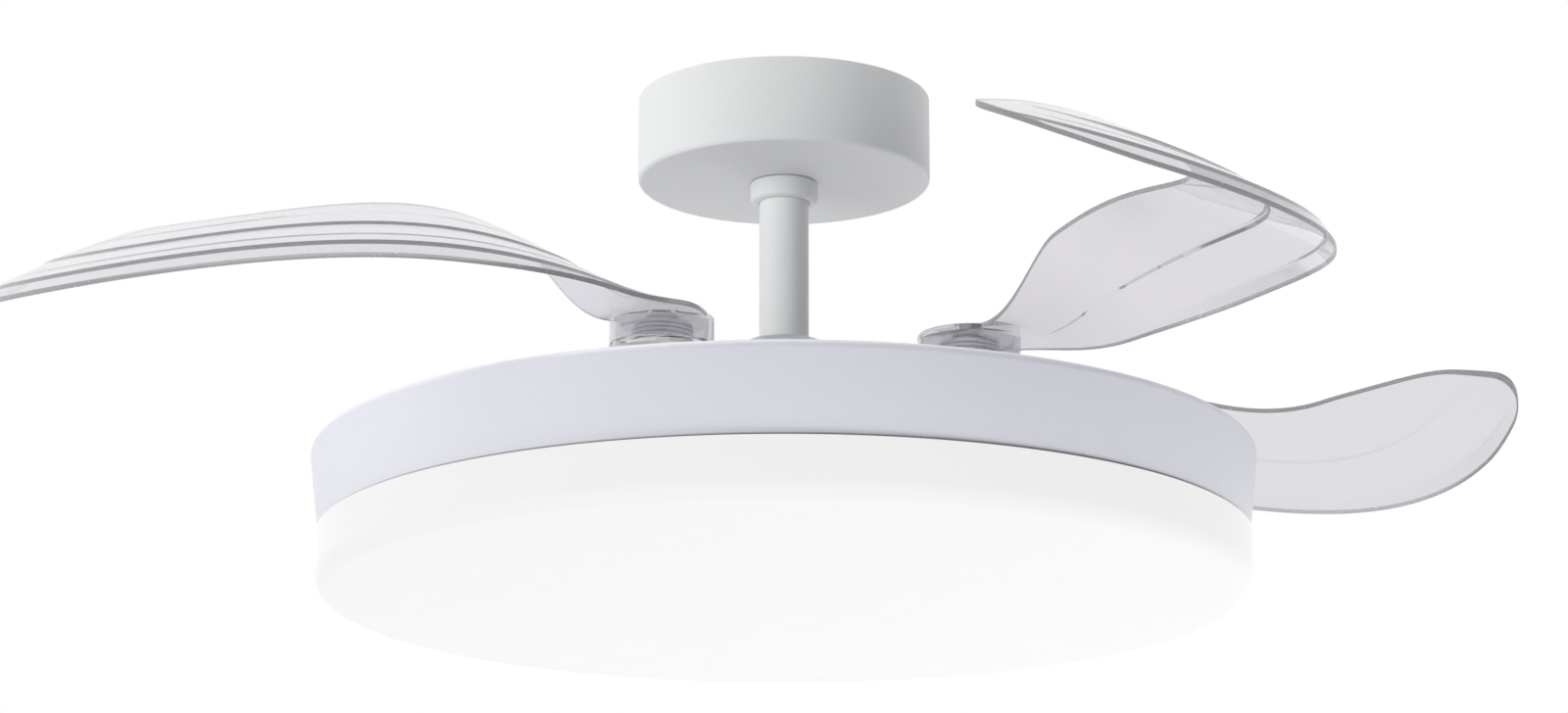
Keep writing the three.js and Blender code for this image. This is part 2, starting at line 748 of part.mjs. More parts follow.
// Closed round wire wound on a helix.
function returnSpring() {
  const steps = Math.round(springTurns * springSteps);
  const sides = springSides;
  const low = bossLow + gap + springWire;
  const high = bossTop - bossWall - gap - springWire;
  const positions = [];
  for (let i = 0; i <= steps; i++) {
    const a = (i / springSteps) * 2 * Math.PI;
    const z = level(low + ((high - low) * i) / steps);
    for (let k = 0; k < sides; k++) {
      const b = (2 * Math.PI * k) / sides;
      const r = springRadius + springWire * Math.cos(b);
      positions.push(r * Math.cos(a), r * Math.sin(a), z + springWire * Math.sin(b));
    }
  }
  const index = [];
  for (let i = 0; i < steps; i++) {
    for (let k = 0; k < sides; k++) {
      const a = i * sides + k;
      const b = i * sides + ((k + 1) % sides);
      index.push(a, a + sides, b, b, a + sides, b + sides);
    }
  }
  for (let k = 1; k < sides - 1; k++) {
    index.push(0, k, k + 1);
    const end = steps * sides;
    index.push(end, end + k + 1, end + k);
  }
  return new THREE.BufferGeometry()
    .setAttribute("position", new THREE.Float32BufferAttribute(positions, 3))
    .setIndex(index);
}

const retainerHigh = retainerLow + retainerThickness;
addTo(rotor, "blade_carrier", bladeCarrier(), zincSteel);
addTo(rotor, "gear_hub", tube(hubBore, hubRadius - gap, gearLow, hubHigh, 24), nylon);
const retainer = tube(hubBore, sunHubRadius - retainerInset, retainerLow, retainerHigh, 24);
addTo(rotor, "gear_retainer", retainer, zincSteel);
round(blades, firstPivot + retainerScrewAngle).forEach((a, i) => {
  const [x, y] = polar(retainerScrewCircle, a);
  const low = retainerHigh + gap;
  const screw = rod(retainerScrewRadius, low, low + retainerScrewHeight, 6, x, y);
  addTo(rotor, `retainer_screw_${i + 1}`, screw, zincSteel);
});
round(2, firstPivot + stopAngle).forEach((a, i) => {
  const [x, y] = polar(stopCircle, a);
  addTo(rotor, `gear_stop_${i + 1}`, rod(stopRadius, gearLow, hubHigh + stopProud, 14, x, y), rubber);
});
addTo(rotor, "sync_gear", syncGear(), nylon);

// ---------- blades ----------
const smooth = (x, [from, to]) => THREE.MathUtils.smoothstep(x, from, to);

// Height of the blade's top above the root, from where that point lies once the blade is folded.
function bladeHeight(x, y) {
  const dx = pivotCircle - x;
  const turn = THREE.MathUtils.radToDeg(Math.atan2(y, dx));
  const past = turn < -90 ? turn + 360 : Math.max(0, turn);
  const rise = helixRise * (past / 180) ** 2 + bladePitch * (pivotCircle - Math.hypot(dx, y));
  return rise * smooth(Math.hypot(x, y), rootBlend);
}

function edgeCurve(points) {
  return new THREE.CubicBezierCurve(...points.map(([x, y]) => new THREE.Vector2(x, y)));
}

// Across the blade: the turned-down rim on the outer edge, the flat and the crease that stiffens it.
const acrossSteps = [
  { across: 0, rise: -rimDrop },
  { across: 0.07, rise: 0 },
  { across: 0.2, rise: 0.6 },
  { across: 0.35, rise: 0.4 },
  { across: 0.42, rise: ridgeRise },
  { across: 0.7, rise: 1.2 },
  { across: 1, rise: 0 },
];

function bladeShell() {
  const outer = edgeCurve(outerEdge);
  const inner = edgeCurve(innerEdge);
  const along = 20;
  const columns = acrossSteps.length;
  const point = (i, j) => {
    const t = i / along;
    const { across, rise } = acrossSteps[j];
    const a = outer.getPoint(t);
    const b = inner.getPoint(t);
    const p = a.clone().lerp(b, across);
    const bulge = Math.sin(Math.PI * across) * smooth(t, endPart) * endBulge;
    const formed = rise * smooth(t, formPart);
    p.x += bulge;
    p.y -= bulge;
    return [p.x, p.y, bladeHeight(p.x, p.y) + formed];
  };
  const positions = [];
  for (const lower of [0, bladeThickness]) {
    for (let i = 0; i <= along; i++) {
      for (let j = 0; j < columns; j++) {
        const [x, y, z] = point(i, j);
        positions.push(x, y, level(bossTop) + z - lower);
      }
    }
  }
  const layer = (along + 1) * columns;
  const at = (i, j, under) => under * layer + i * columns + j;
  const index = [];
  const quad = (a, b, c, d) => index.push(a, b, c, a, c, d);
  for (let i = 0; i < along; i++) {
    for (let j = 0; j < columns - 1; j++) {
      quad(at(i, j, 0), at(i, j + 1, 0), at(i + 1, j + 1, 0), at(i + 1, j, 0));
      quad(at(i, j, 1), at(i + 1, j, 1), at(i + 1, j + 1, 1), at(i, j + 1, 1));
    }
    quad(at(i, 0, 0), at(i + 1, 0, 0), at(i + 1, 0, 1), at(i, 0, 1));
    quad(at(i, columns - 1, 0), at(i, columns - 1, 1), at(i + 1, columns - 1, 1), at(i + 1, columns - 1, 0));
  }
  for (let j = 0; j < columns - 1; j++) {
    quad(at(0, j, 0), at(0, j, 1), at(0, j + 1, 1), at(0, j + 1, 0));
    quad(at(along, j, 0), at(along, j + 1, 0), at(along, j + 1, 1), at(along, j, 1));
  }
  return new THREE.BufferGeometry()
    .setAttribute("position", new THREE.Float32BufferAttribute(positions, 3))
    .setIndex(index);
}

// Cup at the root: outer wall, roof and a sleeve for the pivot pin.
function bladeBoss() {
  const roof = bossTop - bossWall;
  const sleeve = pivotPinRadius + gap;
  return turned(
    [
      [sleeve, bossLow],
      [sleeve + bossWall, bossLow],
      [sleeve + bossWall, roof],
      [bossRadius - bossWall, roof],
      [bossRadius - bossWall, bossLow],
      [bossRadius, bossLow],
      [bossRadius, bossTop],
      [sleeve, bossTop],
    ],
    20,
  );
}

function blade() {
  const sleeve = solid(rod(pivotPinRadius + gap, bossLow - past, bossTop + past, 20));
  const hollow = solid(rod(bossRadius - bossWall / 2, bossLow - past, bossTop - bossWall + fused, 20));
  return solid(bladeShell()).subtract(hollow).add(solid(bladeBoss())).subtract(sleeve);
}

const bladeForm = blade();
round(blades, firstPivot).forEach((a, i) => {
  const number = i + 1;
  const folding = new THREE.Group();
  const [x, y] = polar(pivotCircle, a);
  folding.position.set(x, y, 0);
  rotor.add(folding);
  addTo(folding, `blade_${number}`, bladeForm, clearPlastic).rotation.z = rad(a - openBearing);
  addTo(folding, `blade_gear_${number}`, bladeGear(a), nylon);
  addTo(folding, `pivot_pin_${number}`, pivotPin(), zincSteel);
  addTo(folding, `return_spring_${number}`, returnSpring(), bearingSteel);
});

export default fan;
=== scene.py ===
import json
import math

import bpy
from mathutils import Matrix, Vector


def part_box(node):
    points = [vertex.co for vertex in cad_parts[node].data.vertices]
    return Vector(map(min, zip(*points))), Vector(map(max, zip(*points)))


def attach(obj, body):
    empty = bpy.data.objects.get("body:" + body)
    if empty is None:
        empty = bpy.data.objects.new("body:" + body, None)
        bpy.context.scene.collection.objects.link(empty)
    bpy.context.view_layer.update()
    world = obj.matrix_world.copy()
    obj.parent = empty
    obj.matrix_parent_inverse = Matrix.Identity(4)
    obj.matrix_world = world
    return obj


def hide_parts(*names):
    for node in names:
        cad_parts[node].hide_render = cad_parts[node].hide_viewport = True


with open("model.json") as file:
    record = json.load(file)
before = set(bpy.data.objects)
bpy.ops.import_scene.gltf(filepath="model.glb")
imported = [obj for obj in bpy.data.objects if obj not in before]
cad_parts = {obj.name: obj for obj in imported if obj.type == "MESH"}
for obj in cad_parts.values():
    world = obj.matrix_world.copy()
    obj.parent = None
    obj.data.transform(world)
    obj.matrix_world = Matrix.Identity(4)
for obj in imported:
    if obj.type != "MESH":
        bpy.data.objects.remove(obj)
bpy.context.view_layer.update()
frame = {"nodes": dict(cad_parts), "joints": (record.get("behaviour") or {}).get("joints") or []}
node = frame["nodes"]
MM = 0.001


# ---------------------------------------------------------------- camera
# Set on the drum's two ellipses in the picture: a long lens, a little over
# two metres in front of the fan and below it, looking up at the lamp.
camera_distance = 2.188
camera_below_lamp = 0.4465
camera_pitch = 14.84
camera_lens = 97.0
sensor_width = 36.0
camera_reach = 100.0
lamp_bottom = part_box("lamp_cover")[0].z

camera_data = bpy.data.cameras.new("camera")
camera_data.lens = camera_lens
camera_data.sensor_width = sensor_width
camera_data.clip_end = camera_reach
camera = bpy.data.objects.new("camera", camera_data)
camera.location = (0, -camera_distance, lamp_bottom - camera_below_lamp)
camera.rotation_euler = (math.radians(90 + camera_pitch), 0, 0)
bpy.context.scene.collection.objects.link(camera)
bpy.context.scene.camera = camera
bpy.context.scene.view_settings.view_transform = "Standard"


# ---------------------------------------------------------------- studio
# A white room: the fan hangs free over a pale floor that fades to white far
# out. The world is plain white where it is looked at and softer where it
# lights the fan, and four soft lamps round the fan are kept out of sight.
floor_height = -2.3
floor_half = 60.0
floor_colour = (0.86, 0.86, 0.86, 1)
floor_roughness = 0.8
floor_glow = (0.94, 0.94, 0.94, 1)
fade_distance = (3.0, 18.0)
fade_share = (0.6, 1.0)
sky_colour = (0.97, 0.98, 1.0, 1)
world_light = 0.28
lamp_aim = (0, 0, -0.15)


def looked_at(tree):
    """1 on rays that are looked along: from the camera, through clear things or off gloss."""
    ray = tree.nodes.new("ShaderNodeLightPath")
    straight = tree.nodes.new("ShaderNodeMath")
    straight.operation = "MAXIMUM"
    any_of = tree.nodes.new("ShaderNodeMath")
    any_of.operation = "MAXIMUM"
    tree.links.new(ray.outputs["Is Camera Ray"], straight.inputs[0])
    tree.links.new(ray.outputs["Is Transmission Ray"], straight.inputs[1])
    tree.links.new(straight.outputs[0], any_of.inputs[0])
    tree.links.new(ray.outputs["Is Glossy Ray"], any_of.inputs[1])
    return any_of.outputs[0]


world = bpy.data.worlds.new("white_room")
bpy.context.scene.world = world
world.use_nodes = True
sky = world.node_tree.nodes
sky.clear()
seen = sky.new("ShaderNodeBackground")
seen.inputs["Color"].default_value = (1, 1, 1, 1)
seen.inputs["Strength"].default_value = 1.0
lighting = sky.new("ShaderNodeBackground")
lighting.inputs["Color"].default_value = sky_colour
lighting.inputs["Strength"].default_value = world_light
choose = sky.new("ShaderNodeMixShader")
sky_out = sky.new("ShaderNodeOutputWorld")
join = world.node_tree.links.new
join(looked_at(world.node_tree), choose.inputs[0])
join(lighting.outputs[0], choose.inputs[1])
join(seen.outputs[0], choose.inputs[2])
join(choose.outputs[0], sky_out.inputs["Surface"])

floor_mesh = bpy.data.meshes.new("floor")
floor_sides = [(-1, -1), (1, -1), (1, 1), (-1, 1)]
floor_corners = [(x * floor_half, y * floor_half, floor_height) for x, y in floor_sides]
floor_mesh.from_pydata(floor_corners, [], [(0, 1, 2, 3)])
floor = bpy.data.objects.new("floor", floor_mesh)
bpy.context.scene.collection.objects.link(floor)
floor_paint = bpy.data.materials.new("floor_paint")
floor_paint.use_nodes = True
floor_paint.cycles.emission_sampling = "NONE"
paint = floor_paint.node_tree.nodes
paint["Principled BSDF"].inputs["Base Color"].default_value = floor_colour
paint["Principled BSDF"].inputs["Roughness"].default_value = floor_roughness
clear = paint.new("ShaderNodeBsdfTransparent")
side = paint.new("ShaderNodeNewGeometry")
one_way = paint.new("ShaderNodeMixShader")
place = paint.new("ShaderNodeTexCoord")
distance = paint.new("ShaderNodeVectorMath")
distance.operation = "LENGTH"
fade = paint.new("ShaderNodeMapRange")
fade.interpolation_type = "SMOOTHSTEP"
fade.inputs["From Min"].default_value = fade_distance[0]
fade.inputs["From Max"].default_value = fade_distance[1]
fade.inputs["To Min"].default_value = fade_share[0]
fade.inputs["To Max"].default_value = fade_share[1]
how_pale = paint.new("ShaderNodeMath")
how_pale.operation = "MULTIPLY"
pale = paint.new("ShaderNodeEmission")
pale.inputs["Color"].default_value = floor_glow
lit_floor = paint.new("ShaderNodeMixShader")
join = floor_paint.node_tree.links.new
join(place.outputs["Object"], distance.inputs[0])
join(distance.outputs["Value"], fade.inputs["Value"])
join(fade.outputs["Result"], how_pale.inputs[0])
join(looked_at(floor_paint.node_tree), how_pale.inputs[1])
join(how_pale.outputs[0], lit_floor.inputs[0])
join(paint["Principled BSDF"].outputs[0], lit_floor.inputs[1])
join(pale.outputs[0], lit_floor.inputs[2])
join(side.outputs["Backfacing"], one_way.inputs[0])
join(lit_floor.outputs[0], one_way.inputs[1])
join(clear.outputs[0], one_way.inputs[2])
join(one_way.outputs[0], paint["Material Output"].inputs["Surface"])
floor_mesh.materials.append(floor_paint)

softboxes = (
    # name, place, width, power
    ("key_left", (-2.5, -2.0, -0.2), 1.6, 60),
    ("low_right", (1.55, -0.85, -2.1), 1.2, 48),
    ("low_back", (1.1, 2.6, -1.3), 1.6, 30),
    ("overhead", (-0.4, 0.4, 2.2), 2.2, 60),
)
for name, place, width, power in softboxes:
    light = bpy.data.lights.new(name, "AREA")
    light.shape = "SQUARE"
    light.size = width
    light.energy = power
    lamp = bpy.data.objects.new(name, light)
    lamp.location = place
    aim = Vector(lamp_aim) - lamp.location
    lamp.rotation_euler = aim.to_track_quat("-Z", "Y").to_euler()
    lamp.visible_camera = False
    lamp.visible_transmission = False
    lamp.visible_glossy = False
    bpy.context.scene.collection.objects.link(lamp)


# ---------------------------------------------------------------- ceiling bracket and hanger
# Zinc plated steel: a flat bracket, a turned flange with its socket for the
# rod, two bolts and a cross pin, all inside the canopy. The coupler's pin and
# the nut on the shaft are plated alike.
grain_detail = 3
grain_strength = 0.6
tone_reach = (0.3, 0.7)


def finish_of(name, colour, roughness, metallic=0.0):
    """A new material and its shader."""
    material = bpy.data.materials.new(name)
    material.use_nodes = True
    shader = material.node_tree.nodes["Principled BSDF"]
    shader.inputs["Base Color"].default_value = (*colour, 1)
    shader.inputs["Roughness"].default_value = roughness
    shader.inputs["Metallic"].default_value = metallic
    return material, shader


def add_grain(material, shader, scale, depth, roughness, stretch=(1, 1, 1)):
    """Fine unevenness of a surface: its bump and the range of its roughness."""
    made = material.node_tree.nodes
    link = material.node_tree.links.new
    where = made.new("ShaderNodeTexCoord")
    spread = made.new("ShaderNodeMapping")
    spread.inputs["Scale"].default_value = stretch
    noise = made.new("ShaderNodeTexNoise")
    noise.inputs["Scale"].default_value = scale
    noise.inputs["Detail"].default_value = grain_detail
    bump = made.new("ShaderNodeBump")
    bump.inputs["Strength"].default_value = grain_strength
    bump.inputs["Distance"].default_value = depth
    level = made.new("ShaderNodeMapRange")
    level.inputs["To Min"].default_value = roughness[0]
    level.inputs["To Max"].default_value = roughness[1]
    link(where.outputs["Object"], spread.inputs["Vector"])
    link(spread.outputs["Vector"], noise.inputs["Vector"])
    link(noise.outputs["Fac"], bump.inputs["Height"])
    link(noise.outputs["Fac"], level.inputs["Value"])
    link(level.outputs["Result"], shader.inputs["Roughness"])
    link(bump.outputs["Normal"], shader.inputs["Normal"])
    return noise


def add_tone(material, shader, noise, dark, light):
    """Slow change of colour from one tone to another, on the same noise."""
    made = material.node_tree.nodes
    ramp = made.new("ShaderNodeValToRGB")
    ramp.color_ramp.elements[0].position = tone_reach[0]
    ramp.color_ramp.elements[0].color = (*dark, 1)
    ramp.color_ramp.elements[1].position = tone_reach[1]
    ramp.color_ramp.elements[1].color = (*light, 1)
    material.node_tree.links.new(noise.outputs["Fac"], ramp.inputs["Fac"])
    material.node_tree.links.new(ramp.outputs["Color"], shader.inputs["Base Color"])


def dress(names, material):
    """Gives CAD pieces their finish, in place of the plain one."""
    for name in names:
        node[name].data.materials.clear()
        node[name].data.materials.append(material)


zinc, zinc_shader = finish_of("zinc", (0.62, 0.63, 0.65), 0.34, 1.0)
zinc_grain = add_grain(zinc, zinc_shader, 260, 0.00004, (0.26, 0.44))
add_tone(zinc, zinc_shader, zinc_grain, (0.56, 0.57, 0.59), (0.67, 0.68, 0.70))
hanger_parts = ["ceiling_bracket", "hanger_flange", "hanger_bolt_left", "hanger_bolt_right"]
dress([*hanger_parts, "hanger_pin", "coupler_pin", "shaft_nut"], zinc)


# ---------------------------------------------------------------- canopy, rod and collar
# Spun steel cup, powder coated in a fine satin white, on a painted tube. The
# collar under it closes the gap and is held by a small dark grub screw.
def shade(mesh, sharp):
    """Smooth faces, while edges sharper than the angle stay edges."""
    mesh.shade_smooth()
    mesh.set_sharp_from_angle(angle=math.radians(sharp))


def piece_from(name, vertices, faces, material, sharp=38):
    """A new piece from its corners, in metres, and its faces."""
    mesh = bpy.data.meshes.new(name)
    mesh.from_pydata(vertices, [], faces)
    mesh.validate()
    shade(mesh, sharp)
    mesh.materials.append(material)
    piece = bpy.data.objects.new(name, mesh)
    bpy.context.scene.collection.objects.link(piece)
    return piece


def corner(radius, height, size, start, end, steps=6):
    """Points of a rounded corner in an outline of radii and heights."""
    turns = [math.radians(start + (end - start) * i / steps) for i in range(steps + 1)]
    return [(radius + size * math.cos(a), height + size * math.sin(a)) for a in turns]


def turned_piece(name, outline, material, segments=160, centre=(0, 0), sharp=38):
    """An outline of radii and heights in millimetres, anticlockwise, turned round a vertical axis."""
    vertices, rings, faces = [], [], []
    for radius, height in outline:
        steps = 1 if radius < 1e-6 else segments
        ring = []
        for k in range(steps):
            a = 2 * math.pi * k / segments
            ring.append(len(vertices))
            x = centre[0] + radius * math.cos(a)
            y = centre[1] + radius * math.sin(a)
            vertices.append((x * MM, y * MM, height * MM))
        rings.append(ring)
    closed = len(rings[0]) > 1
    pairs = list(zip(rings, rings[1:] + rings[:1])) if closed else list(zip(rings, rings[1:]))
    for low, high in pairs:
        for k in range(segments):
            after = (k + 1) % segments
            if len(low) == 1 and len(high) == 1:
                continue
            if len(low) == 1:
                faces.append((low[0], high[after], high[k]))
            elif len(high) == 1:
                faces.append((low[k], low[after], high[0]))
            else:
                faces.append((low[k], low[after], high[after], high[k]))
    return piece_from(name, vertices, faces, material, sharp)


def span(name):
    """Outer radius, lowest and highest point of a round CAD piece on the axis, in millimetres."""
    low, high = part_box(name)
    return high.x / MM, low.z / MM, high.z / MM


canopy_paint, canopy_shader = finish_of("canopy_paint", (0.82, 0.825, 0.82), 0.46)
canopy_shader.inputs["Specular IOR Level"].default_value = 0.4
canopy_grain = add_grain(canopy_paint, canopy_shader, 900, 0.00003, (0.42, 0.52))
add_tone(canopy_paint, canopy_shader, canopy_grain, (0.81, 0.815, 0.81), (0.83, 0.84, 0.835))

canopy_radius, canopy_low, canopy_high = span("canopy")
canopy_edge = 2.4
canopy_wall = 1.5
canopy_gap = 1.0
rod_radius, rod_low, rod_high = span("downrod")
canopy_hole = rod_radius + canopy_gap
edge_at = (canopy_radius - canopy_edge, canopy_low + canopy_edge)
canopy = turned_piece(
    "canopy_cup",
    [
        (canopy_hole, canopy_low),
        *corner(*edge_at, canopy_edge, -90, 0, 10),
        (canopy_radius, canopy_high),
        (canopy_radius - canopy_wall, canopy_high),
        *corner(*edge_at, canopy_edge - canopy_wall, 0, -90, 8),
        (canopy_hole, canopy_low + canopy_wall),
    ],
    canopy_paint,
    sharp=30,
)
rod_wall = 2.0
rod_edge = 0.4
rod = turned_piece(
    "painted_rod",
    [
        (rod_radius - rod_wall, rod_low),
        (rod_radius - rod_edge, rod_low),
        (rod_radius, rod_low + rod_edge),
        (rod_radius, rod_high - rod_edge),
        (rod_radius - rod_edge, rod_high),
        (rod_radius - rod_wall, rod_high),
    ],
    canopy_paint,
    segments=72,
)
collar_radius, collar_low, collar_high = span("canopy_collar")
collar_gap = 0.3
collar_foot = 3.4
collar_round = 2.4
collar_round_rise = 2.6
collar_edge = 0.8
collar = turned_piece(
    "rod_collar",
    [
        (rod_radius + collar_gap, collar_low),
        (collar_radius - collar_foot, collar_low),
        *corner(collar_radius - collar_round, collar_low + collar_round_rise, collar_round, -70, 0, 5),
        *corner(collar_radius - collar_edge, collar_high - collar_edge, collar_edge, 0, 90, 4),
        (rod_radius + collar_gap, collar_high),
    ],
    canopy_paint,
    segments=96,
)
for piece, name in ((canopy, "canopy"), (rod, "downrod"), (collar, "canopy_collar")):
    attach(piece, "fixed")
    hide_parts(name)

dark_steel, dark_shader = finish_of("dark_steel", (0.09, 0.09, 0.1), 0.4, 1.0)
add_grain(dark_steel, dark_shader, 500, 0.00003, (0.32, 0.5))
dress(["collar_screw"], dark_steel)


# ---------------------------------------------------------------- wiring parts
# Moulded plastic boxes: the terminal block and the receiver of the remote
# control inside the canopy, and the driver of the light inside the lamp.
white_nylon, nylon_shader = finish_of("white_nylon", (0.83, 0.82, 0.78), 0.5)
nylon_shader.inputs["Subsurface Weight"].default_value = 0.05
add_grain(white_nylon, nylon_shader, 420, 0.00005, (0.42, 0.58))
grey_moulding, grey_shader = finish_of("grey_moulding", (0.58, 0.59, 0.61), 0.55)
add_grain(grey_moulding, grey_shader, 700, 0.00006, (0.48, 0.62))
dress(["terminal_block"], white_nylon)
dress(["receiver_box", "led_driver"], grey_moulding)


# ---------------------------------------------------------------- motor
# Cast aluminium rotor covers that turn on two bearings round a fixed shaft of
# ground steel, with the laminated core and the magnet ring inside.
cast_metal, cast_shader = finish_of("cast_metal", (0.66, 0.67, 0.68), 0.45, 1.0)
add_grain(cast_metal, cast_shader, 800, 0.00008, (0.38, 0.56))
ground_steel, ground_shader = finish_of("ground_steel", (0.68, 0.69, 0.71), 0.2, 1.0)
add_grain(ground_steel, ground_shader, 300, 0.00002, (0.14, 0.28), (1, 1, 12))
dress(["rotor_lower_cover", "rotor_upper_cover"], cast_metal)
dress(["motor_shaft", "lower_bearing", "upper_bearing"], ground_steel)
dress(["stator_core", "magnet_ring"], dark_steel)


# ---------------------------------------------------------------- stator coils
# Enamelled copper wire, wound in layers round the twelve teeth of the core and
# standing over it at both ends. One coil is made and copied round the axis.
copper_wire, copper_shader = finish_of("copper_wire", (0.60, 0.27, 0.11), 0.3, 1.0)
add_grain(copper_wire, copper_shader, 240, 0.00005, (0.25, 0.42))
core_low, core_high = span("stator_core")[1:]
stator_teeth = 12
coil_outer = span("stator_winding")[0]
coil_depth = 18
coil_inner = coil_outer - coil_depth
coil_rows = 12
coil_layers = 5
coil_wire = 0.62
coil_paper = 0.2
coil_bend = 1.5
bend_growth = 3
bend_steps = 3
tooth_side = 6.6
coil_crown = span("stator_winding")[2] - core_high
coil_below = 2.9


def settle(piece):
    """The piece's modifiers made part of its plain mesh."""
    bpy.context.view_layer.update()
    mesh = bpy.data.meshes.new_from_object(piece.evaluated_get(bpy.context.evaluated_depsgraph_get()))
    piece.modifiers.clear()
    piece.data = mesh


def new_tree(name, inputs):
    """An empty geometry tree with the named inputs, and its first and last node."""
    tree = bpy.data.node_groups.new(name, "GeometryNodeTree")
    tree.interface.new_socket("Geometry", in_out="OUTPUT", socket_type="NodeSocketGeometry")
    for label, kind in inputs:
        tree.interface.new_socket(label, in_out="INPUT", socket_type="NodeSocket" + kind)
    return tree, tree.nodes.new("NodeGroupInput"), tree.nodes.new("NodeGroupOutput")


def close_tree(tree, given, result, shape):
    """Realizes the shape, gives it the material and hands it out."""
    real = tree.nodes.new("GeometryNodeRealizeInstances")
    coat = tree.nodes.new("GeometryNodeSetMaterial")
    tree.links.new(shape, real.inputs["Geometry"])
    tree.links.new(real.outputs["Geometry"], coat.inputs["Geometry"])
    tree.links.new(given.outputs["Material"], coat.inputs["Material"])
    tree.links.new(coat.outputs["Geometry"], result.inputs["Geometry"])


def grow(name, tree, values, sharp=38):
    """A piece whose mesh the tree makes from the named values."""
    piece = bpy.data.objects.new(name, bpy.data.meshes.new(name))
    bpy.context.scene.collection.objects.link(piece)
    made = piece.modifiers.new(name, "NODES")
    made.node_group = tree
    for item in tree.interface.items_tree:
        if item.in_out == "INPUT":
            made[item.identifier] = values[item.name]
    settle(piece)
    shade(piece.data, sharp)
    return piece


around, given, result = new_tree(
    "placed_around",
    (
        ("Piece", "Object"),
        ("Count", "Int"),
        ("Circle", "Float"),
        ("First angle", "Float"),
        ("Height", "Float"),
        ("Material", "Material"),
    ),
)
pattern = around.nodes.new("GeometryNodeObjectInfo")
circle = around.nodes.new("GeometryNodeMeshCircle")
lift = around.nodes.new("ShaderNodeCombineXYZ")
first_turn = around.nodes.new("ShaderNodeCombineXYZ")
each_turn = around.nodes.new("ShaderNodeCombineXYZ")
moved = around.nodes.new("GeometryNodeTransform")
copy_number = around.nodes.new("GeometryNodeInputIndex")
part_of_turn = around.nodes.new("ShaderNodeMath")
part_of_turn.operation = "DIVIDE"
turned = around.nodes.new("ShaderNodeMath")
turned.operation = "MULTIPLY_ADD"
turned.inputs[1].default_value = 2 * math.pi
copies = around.nodes.new("GeometryNodeInstanceOnPoints")
join = around.links.new
join(given.outputs["Piece"], pattern.inputs["Object"])
join(given.outputs["Count"], circle.inputs["Vertices"])
join(given.outputs["Circle"], circle.inputs["Radius"])
join(given.outputs["Height"], lift.inputs["Z"])
join(given.outputs["First angle"], first_turn.inputs["Z"])
join(circle.outputs["Mesh"], moved.inputs["Geometry"])
join(lift.outputs["Vector"], moved.inputs["Translation"])
join(first_turn.outputs["Vector"], moved.inputs["Rotation"])
join(copy_number.outputs["Index"], part_of_turn.inputs[0])
join(given.outputs["Count"], part_of_turn.inputs[1])
join(part_of_turn.outputs[0], turned.inputs[0])
join(given.outputs["First angle"], turned.inputs[2])
join(turned.outputs[0], each_turn.inputs["Z"])
join(moved.outputs["Geometry"], copies.inputs["Points"])
join(pattern.outputs["Geometry"], copies.inputs["Instance"])
join(each_turn.outputs["Vector"], copies.inputs["Rotation"])
close_tree(around, given, result, copies.outputs["Instances"])


def place_around(name, pattern, count, circle, first, height, material, body, nodes=()):
    """Equal copies of one piece round the fan's axis, riding with a body."""
    values = {
        "Piece": pattern,
        "Count": count,
        "Circle": circle * MM,
        "First angle": math.radians(first),
        "Height": height * MM,
        "Material": material,
    }
    piece = grow(name, around, values)
    bpy.data.objects.remove(pattern)
    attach(piece, body)
    if nodes:
        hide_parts(*nodes)


def wire_loop(vertices, faces, points, wire, sides=5):
    """A closed wire along the points, each one given with its outward direction."""
    start = len(vertices)
    for (x, y, z), (ax, ay, az), (bx, by, bz) in points:
        for k in range(sides):
            c = wire * math.cos(2 * math.pi * k / sides)
            s = wire * math.sin(2 * math.pi * k / sides)
            at = (x + ax * c + bx * s, y + ay * c + by * s, z + az * c + bz * s)
            vertices.append(tuple(v * MM for v in at))
    for i in range(len(points)):
        after = (i + 1) % len(points)
        for k in range(sides):
            side = (k + 1) % sides
            a, b = start + i * sides, start + after * sides
            faces.append((a + k, a + side, b + side, b + k))


def one_coil(material):
    """The turns of wire round one tooth, which points along +X."""
    vertices, faces = [], []
    for row in range(coil_rows):
        radius = coil_inner + coil_wire + (coil_outer - coil_inner - 2 * coil_wire) * row / (coil_rows - 1)
        side_room = radius * math.sin(math.pi / stator_teeth) - coil_wire - tooth_side
        for layer in range(coil_layers):
            out = (layer + 0.5) / coil_layers
            half = tooth_side + side_room * out
            top = core_high + coil_wire + coil_paper + (coil_crown - 2 * coil_wire - coil_paper) * out
            low = core_low - coil_wire - coil_paper - (coil_below - 2 * coil_wire - coil_paper) * out
            bend = min(half, coil_bend + bend_growth * out)
            points = []
            corners = ((half, top, 0), (-half, top, 90), (-half, low, 180), (half, low, 270))
            for y, z, start in corners:
                cy = y - math.copysign(bend, y)
                cz = z - bend if z == top else z + bend
                for step in range(bend_steps + 1):
                    a = math.radians(start + 90 * step / bend_steps)
                    outward = (0, math.cos(a), math.sin(a))
                    at = (radius, cy + bend * outward[1], cz + bend * outward[2])
                    points.append((at, (1, 0, 0), outward))
            wire_loop(vertices, faces, points, coil_wire)
    return piece_from("coil", vertices, faces, material)


coil = one_coil(copper_wire)
place_around(
    "stator_coils",
    coil,
    stator_teeth,
    0,
    0,
    0,
    copper_wire,
    "fixed",
    ["stator_winding"],
)


